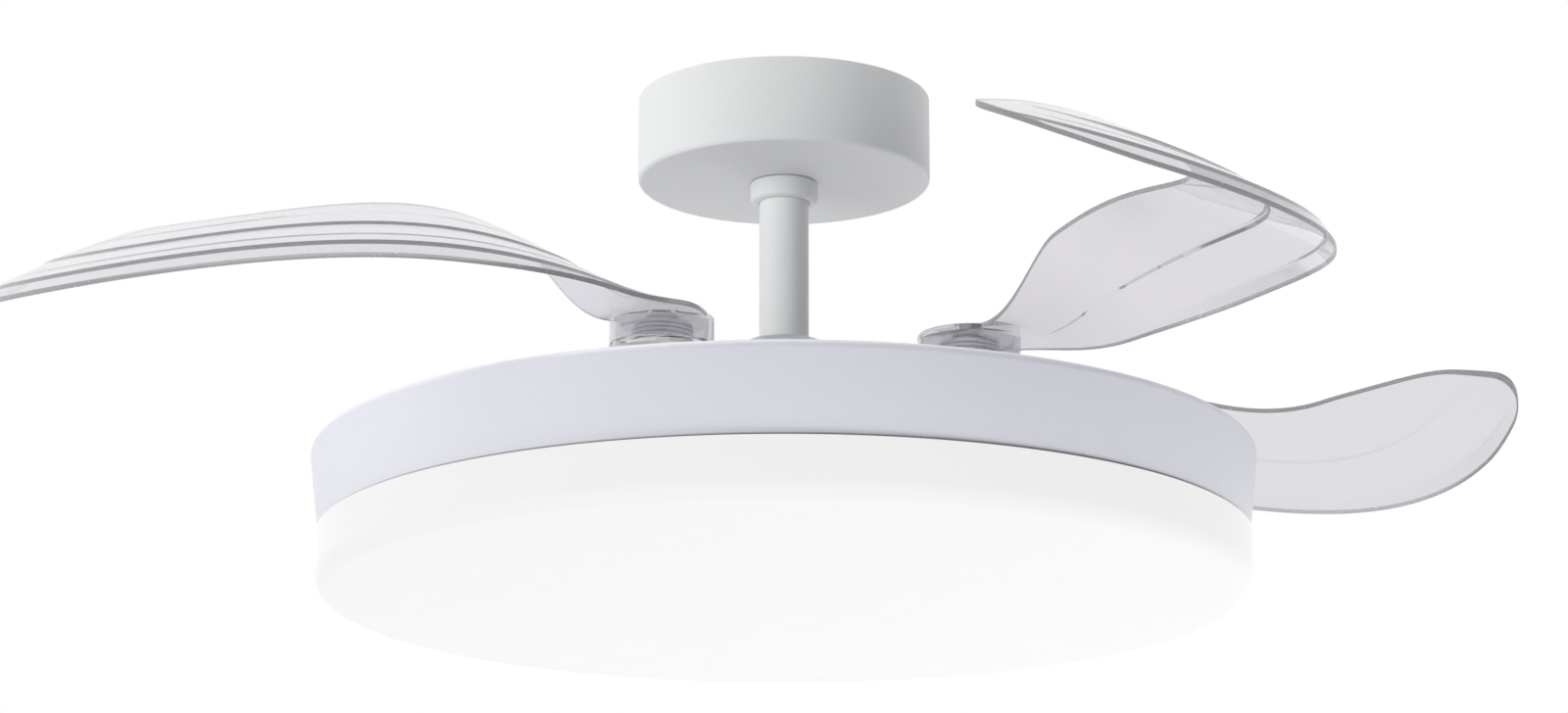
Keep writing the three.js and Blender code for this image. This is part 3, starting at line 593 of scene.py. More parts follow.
# ---------------------------------------------------------------- rod coupler
# Cast aluminium sleeve that joins the rod to the fixed shaft. A steel pin goes
# across both through a bore in the sleeve's wall.
def join_or_cut(piece, tool, how):
    """Adds the tool to the piece or cuts it away, and takes the tool off the scene."""
    change = piece.modifiers.new(how.lower(), "BOOLEAN")
    change.operation = how
    change.solver = "EXACT"
    change.object = tool
    settle(piece)
    bpy.data.objects.remove(tool)


coupler_radius, coupler_low, coupler_high = span("motor_coupler")
coupler_foot = 6.0
coupler_foot_height = 5.0
coupler_chamfer = 3.0
coupler_gap = 0.3
coupler_sharp = 24
foot_edge = 0.4
wall_edge = 0.3
wall_edge_rise = 0.2
shaft_radius = 7.5
shaft_seat = rod_low - coupler_gap
coupler = turned_piece(
    "rod_coupler",
    [
        (shaft_radius + coupler_gap, coupler_low),
        (coupler_radius - coupler_foot - foot_edge, coupler_low),
        (coupler_radius - coupler_foot, coupler_low + foot_edge),
        (coupler_radius - wall_edge, coupler_low + coupler_foot_height - wall_edge),
        (coupler_radius, coupler_low + coupler_foot_height + foot_edge),
        (coupler_radius, coupler_high - coupler_chamfer - wall_edge),
        (coupler_radius - wall_edge, coupler_high - coupler_chamfer + wall_edge_rise),
        (coupler_radius - coupler_chamfer, coupler_high),
        (rod_radius + coupler_gap, coupler_high),
        (rod_radius + coupler_gap, shaft_seat),
        (shaft_radius + coupler_gap, shaft_seat),
    ],
    cast_metal,
    segments=96,
    sharp=coupler_sharp,
)
pin_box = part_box("coupler_pin")
bore_radius = (pin_box[1].z - pin_box[0].z) / 2 / MM + coupler_gap
bore_height = (pin_box[1].z + pin_box[0].z) / 2
bore_reach = 40
bore = turned_piece(
    "bore",
    [(0, -bore_reach), (bore_radius, -bore_reach), (bore_radius, bore_reach), (0, bore_reach)],
    cast_metal,
    segments=40,
)
across_x = pin_box[1].x - pin_box[0].x > pin_box[1].y - pin_box[0].y
for v in bore.data.vertices:
    x, y, z = v.co
    v.co = (z, y, -x + bore_height) if across_x else (x, z, -y + bore_height)
join_or_cut(coupler, bore, "DIFFERENCE")
shade(coupler.data, coupler_sharp)
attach(coupler, "fixed")
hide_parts("motor_coupler")


# ---------------------------------------------------------------- rotor fins
# Cooling fins cast with the two rotor covers, thinner towards their outer edge
# and run out into the wall at both ends.
rotor_radius, rotor_low, rotor_split = span("rotor_lower_cover")
rotor_high = span("rotor_upper_cover")[2]
fin_depth = 1.8
fin_width = 1.6
fin_draft = 3.4
fin_sunk = 0.6
fin_run_out = 5
fin_steps = 8
fin_count = 72
fin_margin = 1
below_split = 0.8
above_split = 1.1


def cooling_fin(low, high, material):
    """A drafted rib that stands on the rotor's wall, with rounded ends."""
    vertices, faces = [], []
    foot, edge = fin_width / 2, fin_width / fin_draft
    for i in range(fin_steps + 1):
        t = i / fin_steps
        z = low + (high - low) * t
        proud = fin_depth * math.sqrt(max(0, 1 - abs(2 * t - 1) ** fin_run_out))
        for x, y in ((-fin_sunk, -foot), (proud, -edge), (proud, edge), (-fin_sunk, foot)):
            vertices.append((x * MM, y * MM, z * MM))
    for i in range(fin_steps):
        for k in range(4):
            a, b = 4 * i + k, 4 * i + (k + 1) % 4
            faces.append((a, b, b + 4, a + 4))
    faces.append((3, 2, 1, 0))
    faces.append(tuple(4 * fin_steps + k for k in range(4)))
    return piece_from("fin", vertices, faces, material)


for name, low, high in (
    ("lower_fins", rotor_low + fin_margin, rotor_split - below_split),
    ("upper_fins", rotor_split + above_split, rotor_high - fin_margin),
):
    fin = cooling_fin(low, high, cast_metal)
    place_around(name, fin, fin_count, rotor_radius, 0, 0, cast_metal, "rotor")


# ---------------------------------------------------------------- lamp housing
# Band and top spun from one steel sheet, lacquered in a pale lilac white. The
# lower edge is cut square over the cover, the upper one is rolled.
lacquer, lacquer_shader = finish_of("lacquer", (0.735, 0.735, 0.80), 0.38)
lacquer_shader.inputs["Coat Weight"].default_value = 0.15
lacquer_shader.inputs["Coat Roughness"].default_value = 0.25
lacquer_grain = add_grain(lacquer, lacquer_shader, 700, 0.00002, (0.36, 0.44))
add_tone(lacquer, lacquer_shader, lacquer_grain, (0.725, 0.725, 0.79), (0.745, 0.745, 0.81))

band_radius, band_low, band_high = span("lamp_housing")
band_taper = 5.2
band_lip = 5.0
band_sheet = 1.5
band_edge = 0.4
shaft_hole = 7.8
band_slope = band_taper / (band_high - band_low)
shoulder = band_high - band_lip
band_low_radius = band_radius - band_taper + band_slope * band_lip
lip_centre = (band_radius - band_lip, shoulder)
housing = turned_piece(
    "lamp_shell",
    [
        (band_low_radius - band_sheet + band_edge, band_low),
        (band_low_radius - band_edge, band_low),
        (band_low_radius, band_low + band_edge),
        *corner(*lip_centre, band_lip, 0, 90, 10),
        (shaft_hole, band_high),
        (shaft_hole, band_high - band_sheet),
        *corner(*lip_centre, band_lip - band_sheet, 90, 0, 8),
        (band_low_radius - band_sheet, band_low + band_edge),
    ],
    lacquer,
    segments=256,
    sharp=30,
)
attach(housing, "fixed")
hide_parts("lamp_housing")

rim_radius = 241.5
cover_wall = 2.2
cover_depth = 30.1
ledge_rise = 5.5
ledge_clearance = 0.8
lug_height = 2.0
bayonets = 4
bayonet_arc = 10
first_bayonet = 45
block_steps = 8
block_edge = 0.25
ledge_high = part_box("lamp_cover")[0].z / MM + cover_depth + ledge_rise


def round_edges(piece, width, angle=30, material=-1):
    """Edges sharper than the angle bevelled by the width in millimetres."""
    bevel = piece.modifiers.new("bevel", "BEVEL")
    bevel.width = width * MM
    bevel.segments = 2
    bevel.limit_method = "ANGLE"
    bevel.angle_limit = math.radians(angle)
    bevel.material = material
    settle(piece)


def arc_block(name, inner, outer, low, high, arc, material):
    """A piece of a flat ring with its middle on +X and softly bevelled edges."""
    vertices, faces = [], []
    for i in range(block_steps + 1):
        a = math.radians(arc * (i / block_steps - 0.5))
        for radius, height in ((inner, low), (outer, low), (outer, high), (inner, high)):
            vertices.append((radius * math.cos(a) * MM, radius * math.sin(a) * MM, height * MM))
    for i in range(block_steps):
        for k in range(4):
            a, b = 4 * i + k, 4 * i + (k + 1) % 4
            faces.append((a, a + 4, b + 4, b))
    faces.append((0, 1, 2, 3))
    faces.append(tuple(4 * block_steps + k for k in (3, 2, 1, 0)))
    piece = piece_from(name, vertices, faces, material)
    round_edges(piece, block_edge)
    return piece


band_inside = band_radius - band_taper - band_sheet / 2
ledge_low = ledge_high - band_sheet
ledge_inner = rim_radius + ledge_clearance
ledge = arc_block("ledge", ledge_inner, band_inside, ledge_low, ledge_high, bayonet_arc, lacquer)
place_around("cover_ledges", ledge, bayonets, 0, first_bayonet, 0, lacquer, "fixed")


# ---------------------------------------------------------------- lamp cover
# Opal acrylic dish, lit evenly from inside, so that it glows all over. Its rim,
# its top edge and the lugs that lock it into the housing get a grey copy of the
# opal that doesn't glow: painted shade, a dark seam where the dish meets the band.
opal, opal_shader = finish_of("opal_acrylic", (0.2, 0.2, 0.202), 0.35)
opal_shader.inputs["Specular IOR Level"].default_value = 0.02
opal_shader.inputs["Emission Color"].default_value = (1.0, 1.0, 1.0, 1)
opal_shader.inputs["Emission Strength"].default_value = 0.685
add_grain(opal, opal_shader, 60, 0.00001, (0.3, 0.4))
# grey copy of the opal that doesn't glow: painted shade for the rim, top edge and lugs
opal_rim_shade, rim_shader = finish_of("opal_rim_shade", (0.42, 0.42, 0.43), 0.5)
add_grain(opal_rim_shade, rim_shader, 60, 0.00001, (0.45, 0.55))

cover_radius, cover_low, cover_high = span("lamp_cover")
cover_edge = 9.0
cover_break = 0.3
# depth of the painted shade seam at the top of the dish
seam_shade_depth = 0.35
lug_gap = 0.3
cover_top = cover_low + cover_depth
cover_at = (cover_radius - cover_edge, cover_low + cover_edge)
cover = turned_piece(
    "lamp_dish",
    [
        (0, cover_low),
        *corner(*cover_at, cover_edge, -90, 0, 12),
        (cover_radius, cover_top - cover_break),
        (cover_radius - cover_break, cover_top),
        (rim_radius, cover_top),
        (rim_radius, cover_high),
        (rim_radius - cover_wall, cover_high),
        (rim_radius - cover_wall, cover_top - cover_wall),
        (cover_radius - cover_wall, cover_top - cover_wall),
        *corner(*cover_at, cover_edge - cover_wall, 0, -90, 8),
        (0, cover_low + cover_wall),
    ],
    opal,
    segments=256,
    sharp=30,
)
cover.data.materials.append(opal_rim_shade)
# the dish's top edge and all above it take the grey copy: painted shade, a dark seam under the band
for face in cover.data.polygons:
    if face.center.z > (cover_top - seam_shade_depth) * MM:
        face.material_index = 1
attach(cover, "cover")
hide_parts("lamp_cover")
lug_low = ledge_high + lug_gap
lug = arc_block(
    "lug",
    rim_radius - cover_wall / 2,
    rim_radius + cover_wall,
    lug_low,
    lug_low + lug_height,
    bayonet_arc,
    opal_rim_shade,
)
place_around("cover_lugs", lug, bayonets, 0, first_bayonet, 0, opal_rim_shade, "cover")


# ---------------------------------------------------------------- light board
# Aluminium board with a white mask, screwed under three zinc standoffs. Rings
# of small yellow light chips face down into the cover.
white_board, board_shader = finish_of("white_board", (0.86, 0.86, 0.84), 0.45)
add_grain(white_board, board_shader, 500, 0.00002, (0.4, 0.52))
dress(["led_board"], white_board)
dress(["board_standoff_1", "board_standoff_2", "board_standoff_3"], zinc)
phosphor, phosphor_shader = finish_of("phosphor", (0.86, 0.67, 0.16), 0.4)
phosphor_shader.inputs["Subsurface Weight"].default_value = 0.1
add_grain(phosphor, phosphor_shader, 1500, 0.00003, (0.32, 0.5))
chip_rings = ((60, 14), (110, 28), (160, 40), (205, 52))
# half width and height of a chip's rows, from the board down
chip_rows = ((1.9, 0), (1.9, -0.45), (1.5, -0.6), (0.9, -0.8))
board_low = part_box("led_board")[0].z / MM


def light_chip(material):
    """A square chip with slanted sides and a shallow dome of phosphor, under the board."""
    vertices, faces = [], []
    for half, height in chip_rows:
        for x, y in ((-half, -half), (half, -half), (half, half), (-half, half)):
            vertices.append((x * MM, y * MM, height * MM))
    for i in range(len(chip_rows) - 1):
        for k in range(4):
            a, b = 4 * i + k, 4 * i + (k + 1) % 4
            faces.append((a, a + 4, b + 4, b))
    faces.append((0, 1, 2, 3))
    last = 4 * (len(chip_rows) - 1)
    faces.append((last + 3, last + 2, last + 1, last))
    return piece_from("chip", vertices, faces, material)


for number, (ring_radius, count) in enumerate(chip_rings, 1):
    chip = light_chip(phosphor)
    name = f"light_chips_{number}"
    place_around(name, chip, count, ring_radius, 0, board_low, phosphor, "fixed")


# ---------------------------------------------------------------- folding gears and stops
# Moulded nylon gears that turn the four blades together, and two soft rubber
# stops in the slots of the middle gear, which end the travel.
soft_rubber, rubber_shader = finish_of("soft_rubber", (0.02, 0.02, 0.022), 0.8)
add_grain(soft_rubber, rubber_shader, 900, 0.00008, (0.7, 0.9))
dress(["gear_hub", "sync_gear", *[f"blade_gear_{i}" for i in range(1, 5)]], white_nylon)
dress(["gear_stop_1", "gear_stop_2"], soft_rubber)


# ---------------------------------------------------------------- gear retainer
# Flat ring of zinc plated steel that keeps the middle gear on its hub. Four
# screws hold it down.
retainer_radius, retainer_low, retainer_high = span("gear_retainer")
retainer_bore = 27.0
retainer_edge = 0.3
retainer = turned_piece(
    "retainer_plate",
    [
        (retainer_bore, retainer_low),
        (retainer_radius - retainer_edge, retainer_low),
        (retainer_radius, retainer_low + retainer_edge),
        (retainer_radius, retainer_high - retainer_edge),
        (retainer_radius - retainer_edge, retainer_high),
        (retainer_bore, retainer_high),
    ],
    zinc,
    segments=128,
)
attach(retainer, "rotor")
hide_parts("gear_retainer")


# ---------------------------------------------------------------- blade carrier
# Zinc plated steel plate, pressed in one piece: a disc with four arms that end
# in round lobes under the blades, bored for the hinge pins and lightened.
blade_turns = {j["child"]: j for j in frame["joints"] if j["child"].startswith("wing_")}
blade_count = len(blade_turns)
blade_share = 360 / blade_count
first_pivot = blade_turns["wing_1"]["pos_m"]
pivot_circle = math.hypot(*first_pivot[:2]) / MM
pivot_bearing = math.degrees(math.atan2(first_pivot[1], first_pivot[0]))

carrier_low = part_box("blade_carrier")[0].z / MM
carrier_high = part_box("blade_carrier")[1].z / MM
carrier_radius = 94.0
carrier_steps = 480
carrier_edge = 0.3
lobe_radius = 34.0
neck_past_pivot = 6
neck_root = (30.0, 60.0)
neck_end = (pivot_circle + neck_past_pivot, 14.0)
lightening_circle = 68.0
lightening_radius = 10.0
lightening_angle = 15.0
pin_hole = 5.3
cut_past = 1


def carrier_reach(bearing):
    """Radius of the carrier's outline at an angle from the nearest pivot: disc, neck and lobe."""
    a = abs(math.radians(bearing))
    reach = carrier_radius
    root, root_angle = neck_root
    end, end_angle = neck_end
    x0, y0 = root * math.cos(math.radians(root_angle)), root * math.sin(math.radians(root_angle))
    x1, y1 = end * math.cos(math.radians(end_angle)), end * math.sin(math.radians(end_angle))
    across = (x1 - x0) * math.sin(a) - (y1 - y0) * math.cos(a)
    if abs(bearing) <= root_angle and abs(bearing) > end_angle:
        reach = max(reach, ((x1 - x0) * y0 - (y1 - y0) * x0) / across)
    side_room = lobe_radius**2 - (pivot_circle * math.sin(a)) ** 2
    if side_room > 0:
        reach = max(reach, pivot_circle * math.cos(a) + math.sqrt(side_room))
    return reach


def flat_plate(name, points, low, high, material):
    """A flat outline, anticlockwise, given a thickness."""
    count = len(points)
    vertices = [(x * MM, y * MM, z * MM) for z in (low, high) for x, y in points]
    faces = [tuple(range(count - 1, -1, -1)), tuple(range(count, 2 * count))]
    for k in range(count):
        after = (k + 1) % count
        faces.append((k, after, after + count, k + count))
    return piece_from(name, vertices, faces, material)


outline = []
for step in range(carrier_steps):
    bearing = step * 360 / carrier_steps
    from_pivot = (bearing + blade_share / 2) % blade_share - blade_share / 2
    reach = carrier_reach(from_pivot)
    a = math.radians(bearing + pivot_bearing)
    outline.append((reach * math.cos(a), reach * math.sin(a)))
carrier = flat_plate("pressed_carrier", outline, carrier_low, carrier_high, zinc)
holes = [(0, 0, retainer_bore)]
for k in range(blade_count):
    a = math.radians(pivot_bearing + blade_share * k)
    holes.append((pivot_circle * math.cos(a), pivot_circle * math.sin(a), pin_hole))
    a += math.radians(lightening_angle)
    holes.append((lightening_circle * math.cos(a), lightening_circle * math.sin(a), lightening_radius))
hole_low = carrier_low - cut_past
hole_high = carrier_high + cut_past
for x, y, radius in holes:
    rows = [(0, hole_low), (radius, hole_low), (radius, hole_high), (0, hole_high)]
    hole = turned_piece("hole", rows, zinc, segments=56, centre=(x, y))
    join_or_cut(carrier, hole, "DIFFERENCE")
round_edges(carrier, carrier_edge, angle=60)
shade(carrier.data, 30)
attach(carrier, "rotor")
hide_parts("blade_carrier")


# ---------------------------------------------------------------- retainer screws
# Four zinc plated screws that hold the retainer down. What shows of each is a
# domed head with a cross recess pressed into it.
recess_arm = 0.19
recess_taper = 0.7


def crossed_head(name, outline, top, reach, depth, material):
    """A turned screw or pin with a cross recess pressed into its head."""
    screw = turned_piece(name, outline, material, segments=48)
    half = reach * recess_arm
    arms = ((reach, half), (half, half), (half, reach), (-half, reach), (-half, half), (-reach, half))
    points = [*arms, *[(-x, -y) for x, y in arms]]
    count = len(points)
    vertices = [(x * MM, y * MM, (top + cut_past) * MM) for x, y in points]
    vertices += [(x * recess_taper * MM, y * recess_taper * MM, (top - depth) * MM) for x, y in points]
    faces = [tuple(range(count)), tuple(range(2 * count - 1, count - 1, -1))]
    for k in range(count):
        after = (k + 1) % count
        faces.append((k, k + count, after + count, after))
    join_or_cut(screw, piece_from("cross", vertices, faces, material), "DIFFERENCE")
    shade(screw.data, 30)
    return screw


screw_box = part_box("retainer_screw_1")
screw_low = screw_box[0].z / MM
screw_place = (screw_box[0] + screw_box[1]) / 2
screw_circle = math.hypot(screw_place.x, screw_place.y) / MM
screw_bearing = math.degrees(math.atan2(screw_place.y, screw_place.x))
head_radius = 4.0
head_height = screw_box[1].z / MM - screw_low
head_edge = 0.2
# radius and height of the dome's rows, in parts of the head's
head_dome = ((1, 0.5), (0.9, 0.78), (0.66, 0.94), (0.3, 1), (0, 1))
head_recess_reach = 0.55
head_recess_depth = 1.2
screw = crossed_head(
    "screw",
    [
        (0, 0),
        (head_radius - head_edge, 0),
        (head_radius, head_edge),
        *[(head_radius * across, head_height * up) for across, up in head_dome],
    ],
    head_height,
    head_radius * head_recess_reach,
    head_recess_depth,
    zinc,
)
screws = [f"retainer_screw_{i}" for i in range(1, 5)]
place_around(
    "retainer_screws",
    screw,
    len(screws),
    screw_circle,
    screw_bearing,
    screw_low,
    zinc,
    "rotor",
    screws,
)


# ---------------------------------------------------------------- hinge pins and springs
# Each blade turns on a zinc plated pin with a broad crossed head. A spring
# wound from steel wire, with a straight leg at each end, folds it back.
pin_radius = 5.0
pin_head = 9.0
pin_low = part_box("pivot_pin_1")[0].z / MM
pin_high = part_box("pivot_pin_1")[1].z / MM
pin_head_depth = 3.4
pin_edge = 0.4
pin_head_edge = 0.2
pin_round = 1.4
pin_recess_reach = 4.4
pin_recess_depth = 1.8
head_low = pin_high - pin_head_depth
spring_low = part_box("return_spring_1")[0].z / MM
spring_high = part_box("return_spring_1")[1].z / MM
spring_radius = 15.0
spring_wire = 1.1
spring_turns = 4
spring_leg = 14.0
turn_steps = 40
wire_sides = 12

wound, given, result = new_tree(
    "wound_spring",
    (
        ("Radius", "Float"),
        ("Wire", "Float"),
        ("Turns", "Float"),
        ("Rise", "Float"),
        ("Leg", "Float"),
        ("Material", "Material"),
    ),
)
helix = wound.nodes.new("GeometryNodeCurveSpiral")
helix.inputs["Resolution"].default_value = turn_steps
lower_leg = wound.nodes.new("GeometryNodeCurvePrimitiveLine")
upper_leg = wound.nodes.new("GeometryNodeCurvePrimitiveLine")
low_from = wound.nodes.new("ShaderNodeCombineXYZ")
low_to = wound.nodes.new("ShaderNodeCombineXYZ")
high_from = wound.nodes.new("ShaderNodeCombineXYZ")
high_to = wound.nodes.new("ShaderNodeCombineXYZ")
back = wound.nodes.new("ShaderNodeMath")
back.operation = "MULTIPLY"
back.inputs[1].default_value = -1
runs = wound.nodes.new("GeometryNodeJoinGeometry")
wire_ring = wound.nodes.new("GeometryNodeCurvePrimitiveCircle")
wire_ring.inputs["Resolution"].default_value = wire_sides
swept = wound.nodes.new("GeometryNodeCurveToMesh")
swept.inputs["Fill Caps"].default_value = True
join = wound.links.new
join(given.outputs["Turns"], helix.inputs["Rotations"])
join(given.outputs["Radius"], helix.inputs["Start Radius"])
join(given.outputs["Radius"], helix.inputs["End Radius"])
join(given.outputs["Rise"], helix.inputs["Height"])
join(given.outputs["Leg"], back.inputs[0])
for point in (low_from, low_to, high_from, high_to):
    join(given.outputs["Radius"], point.inputs["X"])
join(given.outputs["Leg"], low_from.inputs["Y"])
join(back.outputs[0], high_to.inputs["Y"])
join(given.outputs["Rise"], high_from.inputs["Z"])
join(given.outputs["Rise"], high_to.inputs["Z"])
join(low_from.outputs["Vector"], lower_leg.inputs["Start"])
join(low_to.outputs["Vector"], lower_leg.inputs["End"])
join(high_from.outputs["Vector"], upper_leg.inputs["Start"])
join(high_to.outputs["Vector"], upper_leg.inputs["End"])
for run in (helix, lower_leg, upper_leg):
    join(run.outputs["Curve"], runs.inputs["Geometry"])
join(given.outputs["Wire"], wire_ring.inputs["Radius"])
join(runs.outputs["Geometry"], swept.inputs["Curve"])
join(wire_ring.outputs["Curve"], swept.inputs["Profile Curve"])
close_tree(wound, given, result, swept.outputs["Mesh"])


def carry_to(mesh, pivot, turn):
    """Turns a mesh about the vertical and takes it from the axis to the pivot."""
    for v in mesh.vertices:
        x, y = v.co.x, v.co.y
        v.co.x = pivot.x + x * math.cos(turn) - y * math.sin(turn)
        v.co.y = pivot.y + x * math.sin(turn) + y * math.cos(turn)


for wing, joint in blade_turns.items():
    number = wing[-1]
    pivot = Vector(joint["pos_m"])
    bearing = math.atan2(pivot.y, pivot.x)
    pin = crossed_head(
        f"hinge_pin_{number}",
        [
            (0, pin_low),
            (pin_radius - pin_edge, pin_low),
            (pin_radius, pin_low + pin_edge),
            (pin_radius, head_low),
            (pin_head - pin_head_edge, head_low),
            (pin_head, head_low + pin_head_edge),
            *corner(pin_head - pin_round, pin_high - pin_round, pin_round, 0, 90, 5),
            (0, pin_high),
        ],
        pin_high,
        pin_recess_reach,
        pin_recess_depth,
        zinc,
    )
    spring = grow(
        f"hinge_spring_{number}",
        wound,
        {
            "Radius": spring_radius * MM,
            "Wire": spring_wire * MM,
            "Turns": float(spring_turns),
            "Rise": (spring_high - spring_low - 2 * spring_wire) * MM,
            "Leg": spring_leg * MM,
            "Material": ground_steel,
        },
    )
    for v in spring.data.vertices:
        v.co.z += (spring_low + spring_wire) * MM
    for piece, old in ((pin, "pivot_pin"), (spring, "return_spring")):
        carry_to(piece.data, pivot, bearing)
        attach(piece, wing)
        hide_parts(f"{old}_{number}")


# ---------------------------------------------------------------- blades
# One clear moulding each: a round cup at the root, and a long hooked blade
# with a turned-down rim on its outer edge and a stiffening crease.
open_bearing = 61.0
blade_length = 351.0
blade_thickness = 2.6
helix_rise = 80.0
blade_pitch = 0.55
root_blend = (30.0, 85.0)
outer_edge = ((-24, 12), (-6, 142), (341, 314), (blade_length, 0))
inner_edge = ((-10, -18), (64, 22), (188, 193), (blade_length - 82, 65))
end_bulge = 3.0
tip_corner = (0.24, 0.06)
heel_corner = (0.5, 0.1)
ridge_rise = 1.7
rim_drop = 5.0
across_form = ((0, -rim_drop), (0.06, 0), (0.2, 0.5), (0.4, 0.5), (0.425, ridge_rise), (0.7, 1.1), (1, 0))
boss_radius = 27.0
boss_wall = 3.0
boss_height = 15.0
sleeve_radius = 5.3
edge_round = 0.7
boss_gap = 0.3
boss_edge = 0.4
boss_round = 1
roof_overlap = 0.2
boss_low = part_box("sync_gear")[1].z / MM + boss_gap
boss_top = boss_low + boss_height
rows_along = 110
columns_across = 52
fold_side = 0.004
fold_room = 0.012
form_start = (0.12, 0.35)
form_end = (0.88, 0.995)
tip_start = 0.7
bulge_start = 0.75
bulge_way = (0.6, -0.6)
acrylic_ior = 1.49
lamp_light_through = (0.88, 0.88, 0.89, 1)


def clear_finish(name, colour, roughness, transmission):
    """Clear plastic that lets the lamps shine through it instead of throwing a solid shadow."""
    material, shader = finish_of(name, colour, roughness)
    shader.inputs["Transmission Weight"].default_value = transmission
    shader.inputs["IOR"].default_value = acrylic_ior
    made = material.node_tree.nodes
    link = material.node_tree.links.new
    lamp_ray = made.new("ShaderNodeLightPath")
    through = made.new("ShaderNodeBsdfTransparent")
    through.inputs["Color"].default_value = lamp_light_through
    either = made.new("ShaderNodeMixShader")
    link(lamp_ray.outputs["Is Shadow Ray"], either.inputs[0])
    link(shader.outputs[0], either.inputs[1])
    link(through.outputs[0], either.inputs[2])
    link(either.outputs[0], made["Material Output"].inputs["Surface"])
    return material, shader


acrylic = clear_finish("clear_acrylic", (0.755, 0.74, 0.77), 0.02, 0.9)[0]
# The cup is the same moulding as the blade but gets a lighter, clearer copy of its acrylic: painted light.
boss_acrylic_painted_light = clear_finish("boss_acrylic_painted_light", (0.94, 0.935, 0.945), 0.03, 0.93)[0]
# The blade's side faces get a grey, half clear copy of the acrylic: painted shade, standing in for the
# dark outline that light held inside clear plastic gives its edges.
edge_painted_shade, edge_shader = clear_finish("acrylic_edge_painted_shade", (0.5, 0.5, 0.51), 0.25, 0.5)
add_grain(edge_painted_shade, edge_shader, 300, 0.00002, (0.18, 0.32))


def smooth(x, low, high):
    """0 below low, 1 above high, and a soft change between them."""
    t = min(1, max(0, (x - low) / (high - low)))
    return t * t * (3 - 2 * t)


def blade_height(x, y):
    """Height over the root, from where the point lies round the fan once the blade is folded."""
    dx = pivot_circle - x
    turn = math.degrees(math.atan2(y, dx))
    past = turn + 360 if turn < -90 else max(0, turn)
    rise = helix_rise * (past / 180) ** 2 + blade_pitch * (pivot_circle - math.hypot(dx, y))
    return rise * smooth(math.hypot(x, y), *root_blend)


def on_curve(points, t):
    """Point of an edge's curve, from its four guiding points."""
    a, b, c, d = (Vector(p) for p in points)
    s = 1 - t
    return a * s**3 + b * (3 * s * s * t) + c * (3 * s * t * t) + d * t**3


def form_at(across):
    """Rise of the rim, the flats and the crease at one place across the blade."""
    for (x0, r0), (x1, r1) in zip(across_form, across_form[1:]):
        if across <= x1:
            return r0 + (r1 - r0) * (across - x0) / (x1 - x0)
    return across_form[-1][1]


def cut_back(across):
    """How far before the end, in parts of the length, the rounded corners of the tip begin."""
    for from_edge, (reach, depth) in ((across, tip_corner), (1 - across, heel_corner)):
        if from_edge < reach:
            return depth * (1 - math.sqrt(1 - (1 - from_edge / reach) ** 2))
    return 0


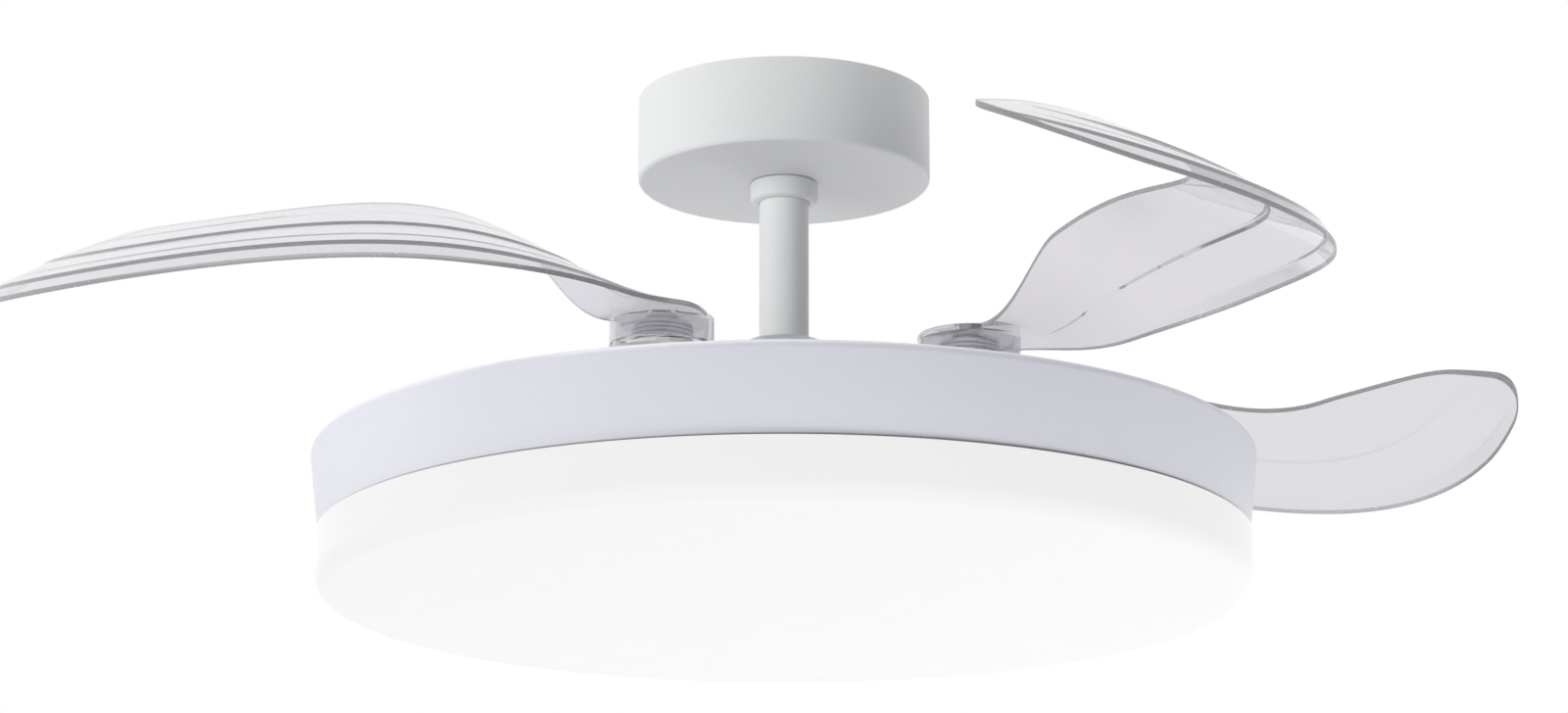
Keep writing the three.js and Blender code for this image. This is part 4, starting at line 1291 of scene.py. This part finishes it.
def blade_shell(material):
    """The formed sheet of one blade, its root on the axis, without its cup."""
    places = [(1 - math.cos(math.pi * j / columns_across)) / 2 for j in range(columns_across + 1)]
    folds = [x for x, _ in across_form[1:-1]]
    places = [p for p in places if all(abs(p - x) > fold_room for x in folds)]
    bends = [x + side for x in folds for side in (-fold_side, 0, fold_side)]
    places = sorted(places + bends)
    columns = len(places) - 1
    vertices, faces = [], []
    for under in (0, blade_thickness):
        for i in range(rows_along + 1):
            for across in places:
                t = i / rows_along - cut_back(across) * smooth(i / rows_along, tip_start, 1)
                p = on_curve(outer_edge, t).lerp(on_curve(inner_edge, t), across)
                ends = math.sin(math.pi * across) * smooth(t, bulge_start, 1) * end_bulge
                p += Vector(bulge_way) * ends
                formed = smooth(t, *form_start) * (1 - smooth(t, *form_end))
                z = blade_height(*p) + form_at(across) * formed
                vertices.append((p.x * MM, p.y * MM, (boss_top + z - under) * MM))
    width = columns + 1
    layer = (rows_along + 1) * width
    for i in range(rows_along):
        for j in range(columns):
            a = i * width + j
            faces.append((a, a + 1, a + width + 1, a + width))
            faces.append((a + layer, a + layer + width, a + layer + width + 1, a + layer + 1))
    rim = [i * width for i in range(rows_along + 1)]
    rim += [rows_along * width + j for j in range(1, width)]
    rim += [i * width + columns for i in range(rows_along - 1, -1, -1)]
    rim += [j for j in range(columns - 1, 0, -1)]
    first_side = len(faces)
    for a, b in zip(rim, rim[1:] + rim[:1]):
        faces.append((a, b, b + layer, a + layer))
    shell = piece_from("blade_shell", vertices, faces, material)
    # the side faces take the grey copy of the acrylic: painted shade along the blade's outline
    shell.data.materials.append(edge_painted_shade)
    for face in shell.data.polygons[first_side:]:
        face.material_index = 1
    return shell


blade_form = blade_shell(acrylic)
round_edges(blade_form, edge_round, angle=50, material=0)
under_roof = boss_top - boss_wall
hollow_radius = boss_radius - boss_wall / 2
hollow_low = boss_low - cut_past
hollow = turned_piece(
    "hollow",
    [
        (0, hollow_low),
        (hollow_radius, hollow_low),
        (hollow_radius, under_roof + roof_overlap),
        (0, under_roof + roof_overlap),
    ],
    acrylic,
    segments=96,
)
boss = turned_piece(
    "boss",
    [
        (sleeve_radius, boss_low),
        (sleeve_radius + boss_wall, boss_low),
        (sleeve_radius + boss_wall, under_roof),
        (boss_radius - boss_wall, under_roof),
        (boss_radius - boss_wall, boss_low),
        (boss_radius - boss_edge, boss_low),
        (boss_radius, boss_low + boss_edge),
        *corner(boss_radius - boss_round, boss_top - boss_round, boss_round, 0, 90, 4),
        (sleeve_radius, boss_top),
    ],
    boss_acrylic_painted_light,
    segments=96,
)
way_high = boss_top + cut_past
pin_way = turned_piece(
    "pin_way",
    [(0, hollow_low), (sleeve_radius, hollow_low), (sleeve_radius, way_high), (0, way_high)],
    acrylic,
    segments=96,
)
join_or_cut(blade_form, hollow, "DIFFERENCE")
join_or_cut(blade_form, boss, "UNION")
join_or_cut(blade_form, pin_way, "DIFFERENCE")

for wing, joint in blade_turns.items():
    number = wing[-1]
    pivot = Vector(joint["pos_m"])
    turn = math.atan2(pivot.y, pivot.x) - math.radians(open_bearing)
    mesh = blade_form.data.copy()
    carry_to(mesh, pivot, turn)
    shade(mesh, 38)
    blade = bpy.data.objects.new(f"clear_blade_{number}", mesh)
    bpy.context.scene.collection.objects.link(blade)
    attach(blade, wing)
    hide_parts(f"blade_{number}")
bpy.data.objects.remove(blade_form)
